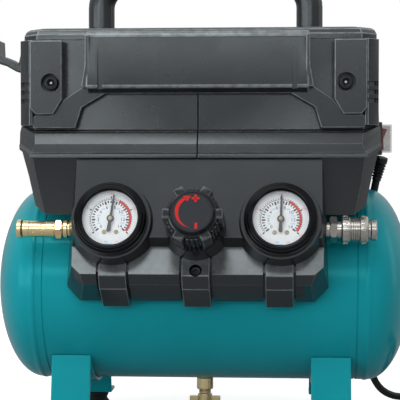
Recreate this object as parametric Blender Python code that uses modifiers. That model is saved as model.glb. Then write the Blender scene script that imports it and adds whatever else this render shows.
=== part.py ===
"""Portable oil-free air compressor.

A six litre tank on rubber feet, a moulded housing over the motor and pump, and a control panel with two
gauges, a regulator, a relief valve and a quick coupler.

Every length below is in millimetres. X runs along the tank, Y from front to back and Z up from the floor.
Places are given from the vertical plane through the tank's axis, which lies at TANK_Y in the world.
"""

import math

import bmesh
import bpy
from mathutils import Matrix, Vector

MM = 0.001
GAP = 0.3
RIGHT_ANGLE = math.pi / 2

# Tank and base
TANK_RADIUS = 80.0
TANK_WALL = 3.0
TANK_HALF_LENGTH = 172.5
HEAD_DEPTH = 36.5
SEAM_X = TANK_HALF_LENGTH - HEAD_DEPTH
TANK_Z = 120.0
TANK_Y = 34.2
FOOT_X = 105.0
FOOT_Y = 77.0
FOOT_HEIGHT = 13.7
STRAP_THICKNESS = 3.0
STRAP_WIDTH = 32.0

# Housing: height, half width, front and back of each level, from the top edge down
SHELL_LEVELS = (
    (318.0, 139.5, -88.0, 90.0),
    (248.0, 142.0, -88.0, 92.0),
    (243.7, 142.3, -91.0, 92.0),
    (236.6, 142.8, -97.0, 92.5),
    (229.0, 143.2, -98.5, 93.0),
    (225.6, 142.2, -98.5, 92.5),
    (225.0, 141.0, -93.0, 92.0),
    (208.0, 135.5, -88.0, 89.0),
    (188.0, 132.5, -85.5, 87.0),
    (181.0, 126.0, -84.5, 86.0),
)
SHELL_WALL = 3.0
SHELL_CORNER = 12.0
SHELL_SPLIT_Y = -5.0
COVER_LEVELS = (
    (318.3, 139.5, -88.0, 90.0),
    (321.5, 139.5, -88.0, 90.0),
    (325.0, 138.0, -86.5, 88.5),
    (328.0, 132.0, -80.5, 82.5),
)
PAD_INNER_X = 106.0
PAD_OUTER_X = 131.0
PAD_FRONT = -98.0
PAD_BOTTOM = 259.5
SHELL_SCREW_X = 115.0
SHELL_SCREW_Z = 284.0

# Control panel
PANEL_TILT = math.radians(17.0)
PANEL_HALF_WIDTH = 97.0
PANEL_BACK_HALF_WIDTH = 103.0
PANEL_PROFILE = (
    (-97.0, 224.6), (-115.5, 164.6), (-109.0, 156.5), (-118.0, 136.5), (-112.0, 128.0), (-89.0, 113.0),
    (-84.0, 113.0), (-84.0, 180.0), (-84.9, 180.5), (-86.0, 188.0), (-88.5, 208.0), (-93.5, 224.4),
)
PANEL_UPPER_HOLLOW = (
    (-75.0, 222.0), (-94.6, 222.0), (-112.0, 166.0), (-105.6, 157.0), (-107.6, 152.0), (-75.0, 152.0),
)
PANEL_LOWER_HOLLOW = (
    (-75.0, 153.0), (-107.2, 153.0), (-114.3, 137.0), (-109.5, 130.2), (-88.0, 116.2), (-75.0, 116.2),
)
RIB_PROFILE = (
    (-104.0, 151.0), (-112.6, 151.0), (-119.8, 135.6), (-113.6, 124.4), (-90.5, 108.6), (-84.0, 108.6),
    (-84.0, 118.0),
)
RIB_CENTRES = (-64.0, 0.0, 64.0)
RIB_WIDTH = 21.5
GAUGE_X = 65.0
GAUGE_FACE = (-119.0, 178.9)
GAUGE_BOSS_RADIUS = 31.5
GAUGE_BORE_RADIUS = 26.4
KNOB_FACE = (-120.5, 174.8)
KNOB_BOSS_RADIUS = 21.5
PANEL_SCREW = (-118.0, 139.5)
LINE_Y = -88.0
LINE_Z = 169.4

# Gauges
BEZEL_RADIUS = 28.0
DIAL_RADIUS = 23.6
NEEDLE_LENGTH = 18.9
NEEDLE_TAIL = 9.7
TANK_NEEDLE_TURN = math.radians(-7.0)
OUTLET_NEEDLE_TURN = math.radians(-2.0)

# Motor and pump
MOTOR_Y = -20.0
MOTOR_Z = 252.0
MOTOR_RADIUS = 40.0
CYLINDER_X = 15.0
CRANK_THROW = 10.0
CHECK_VALVE_X = 80.0

# Switch and mains cord
SWITCH_Y = 30.0
SWITCH_Z = 242.5
ROCKER_TILT = math.radians(9.0)
CORD_DIAMETER = 6.6
RELIEF_TOP = (151.2, 36.0, 226.6)
RELIEF_END = (146.9, 40.6, 207.0)
COIL_CENTRE = (226.0, 78.0)
COIL_MIDDLE_RADIUS = 37.0
COIL_ACROSS = 3
COIL_LAYERS = 2
PLUG_PLACE = (269.6, 28.0, 14.0)
CORD_ROUTE = (
    (146.8, 40.7, 206.7), (145.5, 43.3, 199.5), (143.6, 50.5, 188.0), (141.6, 61.0, 177.0),
    (140.4, 71.5, 163.0), (139.8, 80.0, 146.0), (139.6, 85.0, 126.0), (139.6, 87.5, 102.0),
    (140.0, 89.5, 78.0), (141.5, 93.0, 54.0), (146.0, 99.0, 32.0), (154.5, 107.5, 15.0),
    (168.0, 117.0, 5.6), (186.0, 125.0, 3.5), (206.0, 128.4, 3.5), (226.0, 128.6, 3.5),
)
TAIL_ROUTE = (
    (276.8, 78.0, 10.0), (276.5, 68.0, 10.3), (274.6, 58.0, 11.6), (272.0, 50.0, 13.0), (270.3, 43.2, 13.8),
)

COLOURS = {
    "charcoal_plastic": ((0.045, 0.048, 0.052), 0.55, 0.0),
    "black_plastic": ((0.012, 0.012, 0.013), 0.35, 0.0),
    "teal_paint": ((0.006, 0.19, 0.22), 0.25, 0.1),
    "rubber": ((0.02, 0.02, 0.02), 0.8, 0.0),
    "brass": ((0.72, 0.5, 0.2), 0.3, 1.0),
    "nickel": ((0.5, 0.48, 0.46), 0.25, 1.0),
    "steel": ((0.45, 0.45, 0.46), 0.4, 1.0),
    "aluminium": ((0.6, 0.61, 0.62), 0.45, 1.0),
    "copper": ((0.7, 0.3, 0.15), 0.35, 1.0),
    "white_enamel": ((0.85, 0.88, 0.9), 0.5, 0.0),
    "lens_glass": ((0.9, 0.95, 0.97), 0.05, 0.0),
    "red_plastic": ((0.6, 0.03, 0.03), 0.35, 0.0),
    "smoke_plastic": ((0.25, 0.22, 0.2), 0.2, 0.0),
    "filter_foam": ((0.05, 0.05, 0.05), 0.95, 0.0),
}


def clear_scene():
    """Remove whatever the file holds at the start."""
    for obj in list(bpy.data.objects):
        bpy.data.objects.remove(obj, do_unlink=True)


def new_collection(name):
    """A collection linked under the scene's own."""
    collection = bpy.data.collections.new(name)
    bpy.context.scene.collection.children.link(collection)
    return collection


def new_material(name):
    """A Principled material in one of the named colours."""
    material = bpy.data.materials.get(name)
    if material:
        return material
    colour, roughness, metallic = COLOURS[name]
    material = bpy.data.materials.new(name)
    material.use_nodes = True
    shader = material.node_tree.nodes["Principled BSDF"]
    shader.inputs["Base Color"].default_value = (*colour, 1.0)
    shader.inputs["Roughness"].default_value = roughness
    shader.inputs["Metallic"].default_value = metallic
    return material


clear_scene()
PARTS = new_collection("air_compressor")
CUTTERS = new_collection("cutters")
AXIS = bpy.data.objects.new("tank_axis", None)
AXIS.location = (0.0, TANK_Y * MM, 0.0)
PARTS.objects.link(AXIS)


def put(obj, place=(0.0, 0.0, 0.0), turn=(0.0, 0.0, 0.0)):
    """Place an object from the tank's plane."""
    obj.parent = AXIS
    obj.location = Vector(place) * MM
    obj.rotation_euler = turn
    return obj


def part(name, mesh, finish, place=(0.0, 0.0, 0.0), turn=(0.0, 0.0, 0.0)):
    """A visible sub-part."""
    obj = bpy.data.objects.new(name, mesh)
    PARTS.objects.link(obj)
    obj.data.materials.append(new_material(finish))
    return put(obj, place, turn)


def helper(name, mesh, place=(0.0, 0.0, 0.0), turn=(0.0, 0.0, 0.0)):
    """A shape that only cuts or joins, left out of the model."""
    obj = bpy.data.objects.new(name, mesh)
    CUTTERS.objects.link(obj)
    obj.hide_render = True
    obj.display_type = "WIRE"
    return put(obj, place, turn)


def to_mesh(name, shape):
    """Turn a bmesh in millimetres into a mesh in metres, faces outwards."""
    bmesh.ops.recalc_face_normals(shape, faces=shape.faces)
    bmesh.ops.scale(shape, vec=(MM, MM, MM), verts=shape.verts)
    mesh = bpy.data.meshes.new(name)
    shape.to_mesh(mesh)
    shape.free()
    return mesh


def box_mesh(name, low, high):
    """A box between two opposite corners."""
    shape = bmesh.new()
    bmesh.ops.create_cube(shape, size=1.0)
    size = [top - bottom for bottom, top in zip(low, high)]
    middle = [(top + bottom) / 2 for bottom, top in zip(low, high)]
    bmesh.ops.scale(shape, vec=size, verts=shape.verts)
    bmesh.ops.translate(shape, vec=middle, verts=shape.verts)
    return to_mesh(name, shape)


def cylinder_mesh(name, radius, low, high, sides=24, top_radius=None):
    """A cylinder or cone along local Z."""
    shape = bmesh.new()
    upper = radius if top_radius is None else top_radius
    bmesh.ops.create_cone(
        shape, cap_ends=True, segments=sides, radius1=radius, radius2=upper, depth=high - low,
    )
    bmesh.ops.translate(shape, vec=(0, 0, (high + low) / 2), verts=shape.verts)
    return to_mesh(name, shape)


def along(axis, first, second, depth):
    """A point from two outline coordinates and the place along the extrusion axis."""
    places = {"X": (depth, first, second), "Y": (first, depth, second), "Z": (first, second, depth)}
    return places[axis]


def prism_mesh(name, outline, axis, low, high):
    """A flat outline extruded along an axis."""
    shape = bmesh.new()
    face = shape.faces.new([shape.verts.new(along(axis, first, second, low)) for first, second in outline])
    extruded = bmesh.ops.extrude_face_region(shape, geom=[face])["geom"]
    moved = [item for item in extruded if isinstance(item, bmesh.types.BMVert)]
    bmesh.ops.translate(shape, vec=along(axis, 0, 0, high - low), verts=moved)
    return to_mesh(name, shape)


def loft_mesh(name, rings, closed=True, caps=True):
    """A surface through rings of points that have the same count."""
    shape = bmesh.new()
    rows = [[shape.verts.new(point) for point in ring] for ring in rings]
    count = len(rows[0])
    for upper, lower in zip(rows, rows[1:]):
        for index in range(count if closed else count - 1):
            following = (index + 1) % count
            shape.faces.new((upper[index], upper[following], lower[following], lower[index]))
    if caps:
        shape.faces.new(rows[0])
        shape.faces.new(rows[-1])
    return to_mesh(name, shape)


def spun(obj, steps):
    """Add the Screw modifier that turns a profile about local Z."""
    screw = obj.modifiers.new("turn", "SCREW")
    screw.axis = "Z"
    screw.angle = 2 * math.pi
    screw.steps = steps
    screw.render_steps = steps
    screw.use_merge_vertices = True
    screw.merge_threshold = 0.00001
    return obj


def profile_mesh(name, profile, ring):
    """The half section of a turned shape, as radius and height, running down its outer side."""
    shape = bmesh.new()
    verts = [shape.verts.new((radius * MM, 0.0, height * MM)) for radius, height in profile]
    for first, second in zip(verts, verts[1:]):
        shape.edges.new((first, second))
    if ring:
        shape.edges.new((verts[-1], verts[0]))
    mesh = bpy.data.meshes.new(name)
    shape.to_mesh(mesh)
    shape.free()
    return mesh


def turned(name, profile, finish, place, turn=(0.0, 0.0, 0.0), steps=28):
    """A turned sub-part. A profile that stays off the axis is closed into a ring."""
    ring = profile[0][0] > 0 and profile[-1][0] > 0
    return spun(part(name, profile_mesh(name, profile, ring), finish, place, turn), steps)


def boolean(obj, tool, operation):
    """Add a Boolean modifier that works on an object with a helper shape."""
    modifier = obj.modifiers.new(tool.name, "BOOLEAN")
    modifier.operation = operation
    modifier.object = tool
    return obj


def cut(obj, tool):
    """Cut a helper shape out of an object."""
    return boolean(obj, tool, "DIFFERENCE")


def join(obj, tool):
    """Join a helper shape to an object."""
    return boolean(obj, tool, "UNION")


def wall(obj, thickness, offset=-1.0):
    """Give an open surface its thickness."""
    solidify = obj.modifiers.new("wall", "SOLIDIFY")
    solidify.thickness = thickness * MM
    solidify.offset = offset
    solidify.use_even_offset = True
    solidify.use_quality_normals = True
    return obj


def smooth_points(route, count):
    """Points read from a smooth curve through the route's own points."""
    ends = [Vector(route[0]) * 2 - Vector(route[1]), Vector(route[-1]) * 2 - Vector(route[-2])]
    points = [ends[0], *map(Vector, route), ends[1]]
    found = []
    for index in range(1, len(points) - 2):
        before, start, end, after = points[index - 1:index + 3]
        for step in range(count):
            t = step / count
            found.append(0.5 * (
                2 * start + (end - before) * t + (2 * before - 5 * start + 4 * end - after) * t * t
                + (3 * start - before - 3 * end + after) * t ** 3
            ))
    return [*found, points[-2]]


def tube(name, points, diameter, finish, resolution=2):
    """A round tube along a line of points, with filled ends."""
    curve = bpy.data.curves.new(name, "CURVE")
    curve.dimensions = "3D"
    curve.bevel_depth = diameter * MM / 2
    curve.bevel_resolution = resolution
    curve.use_fill_caps = True
    spline = curve.splines.new("POLY")
    spline.points.add(len(points) - 1)
    for target, point in zip(spline.points, points):
        target.co = (*(Vector(point) * MM), 1.0)
    obj = bpy.data.objects.new(name, curve)
    PARTS.objects.link(obj)
    curve.materials.append(new_material(finish))
    return put(obj)


# Tank and base


def make_tank():
    """A rolled shell with a pressed half-ellipse head at each end."""
    half = SEAM_X - GAP / 2
    inner = TANK_RADIUS - TANK_WALL
    outline = [(TANK_RADIUS, half), (TANK_RADIUS, -half), (inner, -half), (inner, half)]
    turned("tank_shell", outline, "teal_paint", (0, 0, TANK_Z), (0, RIGHT_ANGLE, 0), steps=32)
    angles = [RIGHT_ANGLE * step / 5 for step in range(6)]
    outer_side = [(TANK_RADIUS * math.sin(a), HEAD_DEPTH * math.cos(a)) for a in angles]
    inner_side = [(inner * math.sin(a), (HEAD_DEPTH - TANK_WALL) * math.cos(a)) for a in reversed(angles)]
    head = [(max(radius, 0.0), max(height, 0.0)) for radius, height in outer_side + inner_side]
    for side, sign in (("left", -1), ("right", 1)):
        place = (sign * (SEAM_X + GAP / 2), 0, TANK_Z)
        turned(f"tank_head_{side}", head, "teal_paint", place, (0, sign * RIGHT_ANGLE, 0), steps=32)


def make_feet():
    """Two bent steel straps under the tank, each on two rubber feet."""
    reach = TANK_RADIUS + 2 * GAP + STRAP_THICKNESS / 2
    angles = [math.radians(-46 + 9.2 * step) for step in range(11)]
    saddle = [(reach * math.sin(a), TANK_Z - reach * math.cos(a)) for a in angles]
    sole = FOOT_HEIGHT + GAP + STRAP_THICKNESS / 2
    line = [(-FOOT_Y - 13, sole), (-FOOT_Y + 9, sole), *saddle, (FOOT_Y - 9, sole), (FOOT_Y + 13, sole)]
    for side, sign in (("left", -1), ("right", 1)):
        rings = [[(sign * FOOT_X + x, y, z) for y, z in line] for x in (-STRAP_WIDTH / 2, STRAP_WIDTH / 2)]
        mesh = loft_mesh(f"foot_bracket_{side}", rings, closed=False, caps=False)
        wall(part(f"foot_bracket_{side}", mesh, "teal_paint"), STRAP_THICKNESS, 0.0)
        for end, y in (("front", -FOOT_Y), ("rear", FOOT_Y)):
            outline = [(0, FOOT_HEIGHT), (12, FOOT_HEIGHT), (11, 6), (13, 4), (13, 1), (12, 0), (0, 0)]
            turned(f"rubber_foot_{end}_{side}", outline, "rubber", (sign * FOOT_X, y, 0), steps=16)


def make_drain():
    """The drain cock under the tank: a fixed brass body and a tap that turns."""
    top = TANK_Z - TANK_RADIUS - 0.6
    body = [(0, top), (7, top), (7, 30), (5, 29), (5, 26), (0, 26)]
    turned("drain_valve_body", body, "brass", (0, 0, 0), steps=16)
    tap = part("drain_valve_tap", cylinder_mesh("drain_valve_tap", 6, -6, 0, 16), "brass", (0, 0, 25.6))
    join(tap, helper("tap_wings", box_mesh("tap_wings", (-13, -1.8, -9), (13, 1.8, -2)), (0, 0, 25.6)))


# Housing


def shell_ring(level, side):
    """One level of a shell piece, as the points round its outside."""
    height, half, front, back = level
    corner = SHELL_CORNER
    split = SHELL_SPLIT_Y
    if side == "rear":
        return [
            (-half, split + GAP, height), (-half, back - corner, height), (-half + corner, back, height),
            (half - corner, back, height), (half, back - corner, height), (half, split + GAP, height),
        ]
    sign = -1 if side == "left" else 1
    return [
        (sign * GAP / 2, front, height), (sign * (half - corner), front, height),
        (sign * half, front + corner, height), (sign * half, split, height),
    ]


def shell_piece(name, side):
    """An open shell through the housing's levels, with its wall inwards."""
    rings = [shell_ring(level, side) for level in SHELL_LEVELS]
    mesh = loft_mesh(name, rings, closed=False, caps=False)
    outward = Vector((0, 1, 0)) if side == "rear" else Vector((0, -1, 0))
    facing = sum((face.normal * face.area for face in mesh.polygons), Vector())
    if facing.dot(outward) < 0:
        mesh.flip_normals()
    shell = wall(part(name, mesh, "charcoal_plastic"), SHELL_WALL)
    saddle = cylinder_mesh(f"{name}_saddle", TANK_RADIUS + 1.2, -200, 200, 48)
    return cut(shell, helper(f"{name}_saddle", saddle, (0, 0, TANK_Z), (0, RIGHT_ANGLE, 0)))


def make_front_shells():
    """Two halves that meet at the middle of the front, each with a screwed corner pad."""
    for side, sign in (("left", -1), ("right", 1)):
        shell = shell_piece(f"front_shell_{side}", side)
        inner, outer = sorted((sign * PAD_INNER_X, sign * PAD_OUTER_X))
        corner = sign * (PAD_OUTER_X - 5)
        outline = [
            (sign * PAD_INNER_X, PAD_BOTTOM), (corner, PAD_BOTTOM), (sign * PAD_OUTER_X, PAD_BOTTOM + 5),
            (sign * PAD_OUTER_X, 316), (sign * PAD_INNER_X, 316),
        ]
        name = f"corner_pad_{side}"
        join(shell, helper(name, prism_mesh(name, outline, "Y", PAD_FRONT, -86.0)))
        place = (sign * SHELL_SCREW_X, PAD_FRONT, SHELL_SCREW_Z)
        for label, radius, depth in (("counterbore", 7.4, 7.0), ("screw_hole", 2.6, 20.0)):
            name = f"{label}_{side}"
            cut(shell, helper(name, cylinder_mesh(name, radius, -depth, 2.0), place, (RIGHT_ANGLE, 0, 0)))
        outline = [(0, -3.5), (3.4, -3.5), (4.2, -4.5), (4.2, -6.6), (2.2, -6.6), (2.2, -22), (0, -23)]
        turned(f"shell_screw_{side}", outline, "steel", place, (RIGHT_ANGLE, 0, 0), steps=16)


def make_rear_shell():
    """The back of the housing, with cooling slots and the opening for the switch."""
    shell = shell_piece("rear_shell", "rear")
    for index in range(5):
        x = -80 + 40 * index
        name = f"vent_{index + 1}"
        cut(shell, helper(name, box_mesh(name, (x - 12, 80, 262), (x + 12, 100, 270))))
    name = "switch_opening"
    low = (130, SWITCH_Y - 11.5, SWITCH_Z - 12)
    high = (150, SWITCH_Y + 11.5, SWITCH_Z + 12)
    cut(shell, helper(name, box_mesh(name, low, high)))


def make_top_cover():
    """The lid, with the arched band that comes down over the front."""
    rings = []
    for height, half, front, back in COVER_LEVELS:
        corner = SHELL_CORNER
        rings.append([
            (-half + corner, front, height), (half - corner, front, height), (half, front + corner, height),
            (half, back - corner, height), (half - corner, back, height), (-half + corner, back, height),
            (-half, back - corner, height), (-half, front + corner, height),
        ])
    shape = bmesh.new()
    rows = [[shape.verts.new(point) for point in ring] for ring in rings]
    for lower, upper in zip(rows, rows[1:]):
        for index in range(8):
            following = (index + 1) % 8
            shape.faces.new((lower[index], lower[following], upper[following], upper[index]))
    shape.faces.new(rows[-1])
    cover = wall(part("top_cover", to_mesh("top_cover", shape), "charcoal_plastic"), SHELL_WALL)
    side = [
        (87, 322), (87, 300), (90, 281), (105.4, 270.5), (105.4, 259), (113, 259), (113, 249), (96, 249),
        (91, 265), (73, 275),
    ]
    legs = side + [(-x, z) for x, z in reversed(side)]
    band = [(-102, 281), (-102, 324), (-84, 324), (-84, 319), (-88.3, 319), (-88.3, 275)]
    join(cover, helper("arch_legs", prism_mesh("arch_legs", legs, "Y", -92.0, -88.3)))
    join(cover, helper("arch_band", prism_mesh("arch_band", band, "X", -87.0, 87.0)))


def make_handle():
    """A bow over the lid, with a rubber grip round its middle."""
    route = [(-88, 0, 328.4), (-88, 0, 348)]
    for sign in (-1, 1):
        bend = [math.radians(15 * step) for step in range(7)]
        arc = [(sign * (88 - 24 * (1 - math.cos(a))), 0, 352 + 24 * math.sin(a)) for a in bend]
        route += arc if sign < 0 else arc[::-1]
    route += [(88, 0, 348), (88, 0, 328.4)]
    tube("carry_handle", route, 22, "charcoal_plastic")
    grip = [(13.5, 52), (15.5, 50), (15.5, -50), (13.5, -52), (11.4, -52), (11.4, 52)]
    turned("handle_grip", grip, "rubber", (0, 0, 376), (0, RIGHT_ANGLE, 0), steps=20)


def make_hose_hook():
    """A moulded hook on the left side that holds the coiled air hose."""
    outline = [
        (-140.6, 294), (-149.5, 295.4), (-159.4, 301), (-168, 303.3), (-170, 306), (-170, 322), (-165.5, 322),
        (-165, 309), (-157, 307), (-148, 302), (-145.5, 314), (-140.2, 314),
    ]
    part("hose_hook", prism_mesh("hose_hook", outline, "Y", -58, -26), "charcoal_plastic")


# Control panel


def front_outline(half, low, high, corner):
    """The panel seen from the front, with its lower corners cut at 45 degrees."""
    return [
        (-half, high), (half, high), (half, low + corner), (half - corner, low), (-half + corner, low),
        (-half, low + corner),
    ]


def make_panel():
    """The hollow panel that carries the gauges and the regulator."""
    mesh = prism_mesh("control_panel", PANEL_PROFILE, "X", -104, 104)
    panel = part("control_panel", mesh, "charcoal_plastic")
    front = [(x, -122.0, z) for x, z in front_outline(PANEL_HALF_WIDTH, 125.0, 230.0, 20)]
    back = [(x, -80.0, z) for x, z in front_outline(PANEL_BACK_HALF_WIDTH, 100.0, 230.0, 20)]
    boolean(panel, helper("panel_draft", loft_mesh("panel_draft", [front, back])), "INTERSECT")
    for index, x in enumerate(RIB_CENTRES):
        name = f"panel_rib_{index + 1}"
        mesh = prism_mesh(name, RIB_PROFILE, "X", x - RIB_WIDTH / 2, x + RIB_WIDTH / 2)
        join(panel, helper(name, mesh))
    tilt = (RIGHT_ANGLE - PANEL_TILT, 0, 0)
    seats = [
        ("gauge_boss_left", -GAUGE_X, GAUGE_FACE, GAUGE_BOSS_RADIUS),
        ("gauge_boss_right", GAUGE_X, GAUGE_FACE, GAUGE_BOSS_RADIUS),
        ("knob_boss", 0.0, KNOB_FACE, KNOB_BOSS_RADIUS),
    ]
    for name, x, (y, z), radius in seats:
        join(panel, helper(name, cylinder_mesh(name, radius, -20, 0, 32), (x, y, z), tilt))
    upper = prism_mesh("panel_upper_hollow", PANEL_UPPER_HOLLOW, "X", -93, 93)
    cut(panel, helper("panel_upper_hollow", upper))
    lower = prism_mesh("panel_lower_hollow", PANEL_LOWER_HOLLOW, "X", -82, 82)
    cut(panel, helper("panel_lower_hollow", lower))
    bores = [
        ("gauge_bore_left", -GAUGE_X, GAUGE_FACE, GAUGE_BORE_RADIUS),
        ("gauge_bore_right", GAUGE_X, GAUGE_FACE, GAUGE_BORE_RADIUS),
        ("knob_bore", 0.0, KNOB_FACE, 13.6),
    ]
    for name, x, (y, z), radius in bores:
        cut(panel, helper(name, cylinder_mesh(name, radius, -34, 2, 28), (x, y, z), tilt))
    line = cylinder_mesh("air_line_hole", 9.5, -112, 112, 20)
    cut(panel, helper("air_line_hole", line, (0, LINE_Y, LINE_Z), (0, RIGHT_ANGLE, 0)))
    y, z = PANEL_SCREW
    screw_turn = (RIGHT_ANGLE - math.radians(24), 0, 0)
    hole = cylinder_mesh("panel_screw_hole", 4.6, -14, 4, 20)
    cut(panel, helper("panel_screw_hole", hole, (0, y, z), screw_turn))
    outline = [(0, -3.2), (3.2, -3.2), (3.8, -4.2), (3.8, -6), (2, -6), (2, -20), (0, -21)]
    turned("panel_screw", outline, "steel", (0, y, z), screw_turn, steps=16)


def make_gauge(name, x, needle_turn):
    """A pressure gauge: case with bezel, dial with its movement, needle and lens."""
    y, z = GAUGE_FACE
    place = (x, y, z)
    tilt = (RIGHT_ANGLE - PANEL_TILT, 0, 0)
    case = [
        (0, -15.5), (24, -15.5), (24, 4.8), (22, 5), (22, 6.4), (24.5, 6.6), (27, 6.2), (BEZEL_RADIUS, 5),
        (BEZEL_RADIUS, 0.3), (26, 0.3), (26, -18), (0, -18),
    ]
    turned(f"{name}_case", case, "black_plastic", place, tilt, steps=28)
    dial = [(DIAL_RADIUS, -0.4), (DIAL_RADIUS, -1.2), (9, -1.2), (9, -15.2), (1.3, -15.2), (1.3, -0.4)]
    turned(f"{name}_dial", dial, "white_enamel", place, tilt, steps=24)
    lens = [(0, 4.4), (DIAL_RADIUS, 4.4), (DIAL_RADIUS, 2.9), (0, 2.9)]
    turned(f"{name}_lens", lens, "lens_glass", place, tilt, steps=24)
    hub = cylinder_mesh(f"{name}_needle", 2.7, 0.8, 2.2, 16)
    needle = part(f"{name}_needle", hub, "black_plastic", place, tilt)
    arm = [(-0.7, -NEEDLE_TAIL), (0.7, -NEEDLE_TAIL), (0.35, NEEDLE_LENGTH), (-0.35, NEEDLE_LENGTH)]
    cos, sin = math.cos(needle_turn), math.sin(needle_turn)
    arm = [(u * cos - v * sin, u * sin + v * cos) for u, v in arm]
    pointer = f"{name}_pointer"
    join(needle, helper(pointer, prism_mesh(pointer, arm, "Z", 1.0, 1.6), place, tilt))
    arbor = f"{name}_arbor"
    join(needle, helper(arbor, cylinder_mesh(arbor, 0.9, -9, 1.2, 12), place, tilt))


# Air line


def make_regulator():
    """The regulator valve, the screw that sets it and the lugged knob on that screw."""
    y, z = KNOB_FACE
    place = (0, y, z)
    tilt = (RIGHT_ANGLE - PANEL_TILT, 0, 0)
    body = [(8, -1), (8, -4), (13, -4), (13, -42), (4.4, -42), (4.4, -1)]
    turned("regulator_body", body, "aluminium", place, tilt, steps=20)
    stem = [(0, 28), (4, 28), (4, -36), (0, -36)]
    turned("regulator_stem", stem, "brass", place, tilt, steps=12)
    mesh = cylinder_mesh("regulator_knob", 19, 3, 33, 30)
    knob = part("regulator_knob", mesh, "black_plastic", place, tilt)
    for index in range(6):
        name = f"knob_lug_{index + 1}"
        lug = box_mesh(name, (15, -4.2, 8), (22.8, 4.2, 32))
        lug.transform(Matrix.Rotation(math.radians(60 * index), 4, "Z"))
        join(knob, helper(name, lug, place, tilt))
    join(knob, helper("knob_cap", cylinder_mesh("knob_cap", 15.8, 30, 38, 30), place, tilt))
    cut(knob, helper("knob_hole", cylinder_mesh("knob_hole", 4.4, 0, 28.4, 16), place, tilt))


def make_air_pipes():
    """The pipes from the regulator to the relief valve and to the coupler."""
    for name, sign in (("inlet_pipe", -1), ("outlet_pipe", 1)):
        outline = [(6, 99.6), (6, 13.9), (3.5, 13.9), (3.5, 99.6)]
        turned(name, outline, "brass", (0, LINE_Y, LINE_Z), (0, sign * RIGHT_ANGLE, 0), steps=16)


def make_relief_valve():
    """The brass relief valve on the left, with the pull cap that opens it by hand."""
    place = (0, LINE_Y, LINE_Z)
    turn = (0, -RIGHT_ANGLE, 0)
    body = [
        (0, 138.6), (6.7, 138.6), (6.7, 111.5), (5.6, 111), (5.6, 107), (4.8, 106.6), (7.4, 106),
        (7.4, 102.8), (6, 102.4), (6, 100), (0, 100),
    ]
    valve = turned("relief_valve_body", body, "brass", place, turn, steps=16)
    nut = helper("relief_hex", cylinder_mesh("relief_hex", 8.0, 107.4, 112.0, 6), place, turn)
    join(valve, nut)
    hole = helper("relief_bore", cylinder_mesh("relief_bore", 2.6, 98, 141, 12), place, turn)
    cut(valve, hole)
    cap = [(0, 143.4), (6.9, 143.4), (7.6, 142.8), (7.6, 139), (2.2, 139), (2.2, 116), (0, 116)]
    turned("relief_valve_cap", cap, "brass", place, turn, steps=16)


def make_coupler():
    """The quick coupler on the right: a hexagonal body with a sprung sleeve."""
    place = (0, LINE_Y, LINE_Z)
    turn = (0, RIGHT_ANGLE, 0)
    body = [
        (0, 139.2), (8.4, 139.2), (8.4, 134.6), (7.2, 134.2), (7.2, 103), (6.4, 102.6), (6.4, 100), (0, 100),
    ]
    coupler = turned("coupler_body", body, "nickel", place, turn, steps=18)
    join(coupler, helper("coupler_hex", cylinder_mesh("coupler_hex", 10.4, 102.8, 108.2, 6), place, turn))
    cut(coupler, helper("coupler_bore", cylinder_mesh("coupler_bore", 4.6, 112, 141, 16), place, turn))
    cut(coupler, helper("coupler_port", cylinder_mesh("coupler_port", 3.2, 98, 113, 12), place, turn))
    sleeve = [
        (9.8, 132.6), (10.8, 131.8), (10.8, 126.2), (9.6, 125.4), (9.6, 118.8), (10.8, 118), (10.8, 112.4),
        (9.8, 111.6), (7.6, 111.6), (7.6, 132.6),
    ]
    turned("coupler_sleeve", sleeve, "nickel", place, turn, steps=18)


# Motor and pump


def make_cradle():
    """The bent plate on the tank that the motor and pump stand on."""
    line = [(-50, 185.5), (-50, 205), (50, 205), (50, 185.5)]
    rings = [[(x, y, z) for y, z in line] for x in (-100, 60)]
    mesh = loft_mesh("pump_cradle", rings, closed=False, caps=False)
    cradle = wall(part("pump_cradle", mesh, "steel"), STRAP_THICKNESS, 0.0)
    for index, x in enumerate((-80, -35)):
        name = f"motor_seat_{index + 1}"
        join(cradle, helper(name, box_mesh(name, (x - 6, MOTOR_Y - 20, 205), (x + 6, MOTOR_Y + 20, 210.5))))


def make_motor():
    """The motor with its shaft, crank and cooling fan."""
    place = (0, MOTOR_Y, MOTOR_Z)
    turn = (0, RIGHT_ANGLE, 0)
    stator = [
        (30, -9.5), (30, -16), (MOTOR_RADIUS, -18), (MOTOR_RADIUS, -96), (32, -104), (6.7, -104), (6.7, -9.5),
    ]
    turned("motor_housing", stator, "steel", place, turn, steps=24)
    shaft = part("motor_shaft", cylinder_mesh("motor_shaft", 6, -122, 3, 16), "steel", place, turn)
    join(shaft, helper("crank_web", cylinder_mesh("crank_web", 16, 0, 6, 20), place, turn))
    pin = cylinder_mesh("crank_pin", 4, 5, 10, 12)
    pin.transform(Matrix.Translation((0, CRANK_THROW * MM, 0)))
    join(shaft, helper("crank_pin", pin, place, turn))
    blades = []
    for index in range(7):
        for radius, degrees in ((12, -10), (36, -4), (36, 6), (12, 10)):
            angle = math.radians(360 / 7 * index + degrees)
            blades.append((radius * math.cos(angle), radius * math.sin(angle)))
    mesh = prism_mesh("cooling_fan", blades, "Z", -121, -109)
    fan = part("cooling_fan", mesh, "black_plastic", place, turn)
    cut(fan, helper("fan_bore", cylinder_mesh("fan_bore", 6.4, -125, -105, 16), place, turn))
    case = [(30, 28), (30, -8.8), (6.8, -8.8), (6.8, -4), (26, -4), (26, 28)]
    crankcase = turned("crankcase", case, "aluminium", place, turn, steps=24)
    window = box_mesh("rod_window", (CYLINDER_X - 7, 4, MOTOR_Z - 8), (CYLINDER_X + 7, 14, MOTOR_Z + 8))
    cut(crankcase, helper("rod_window", window))


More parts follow.
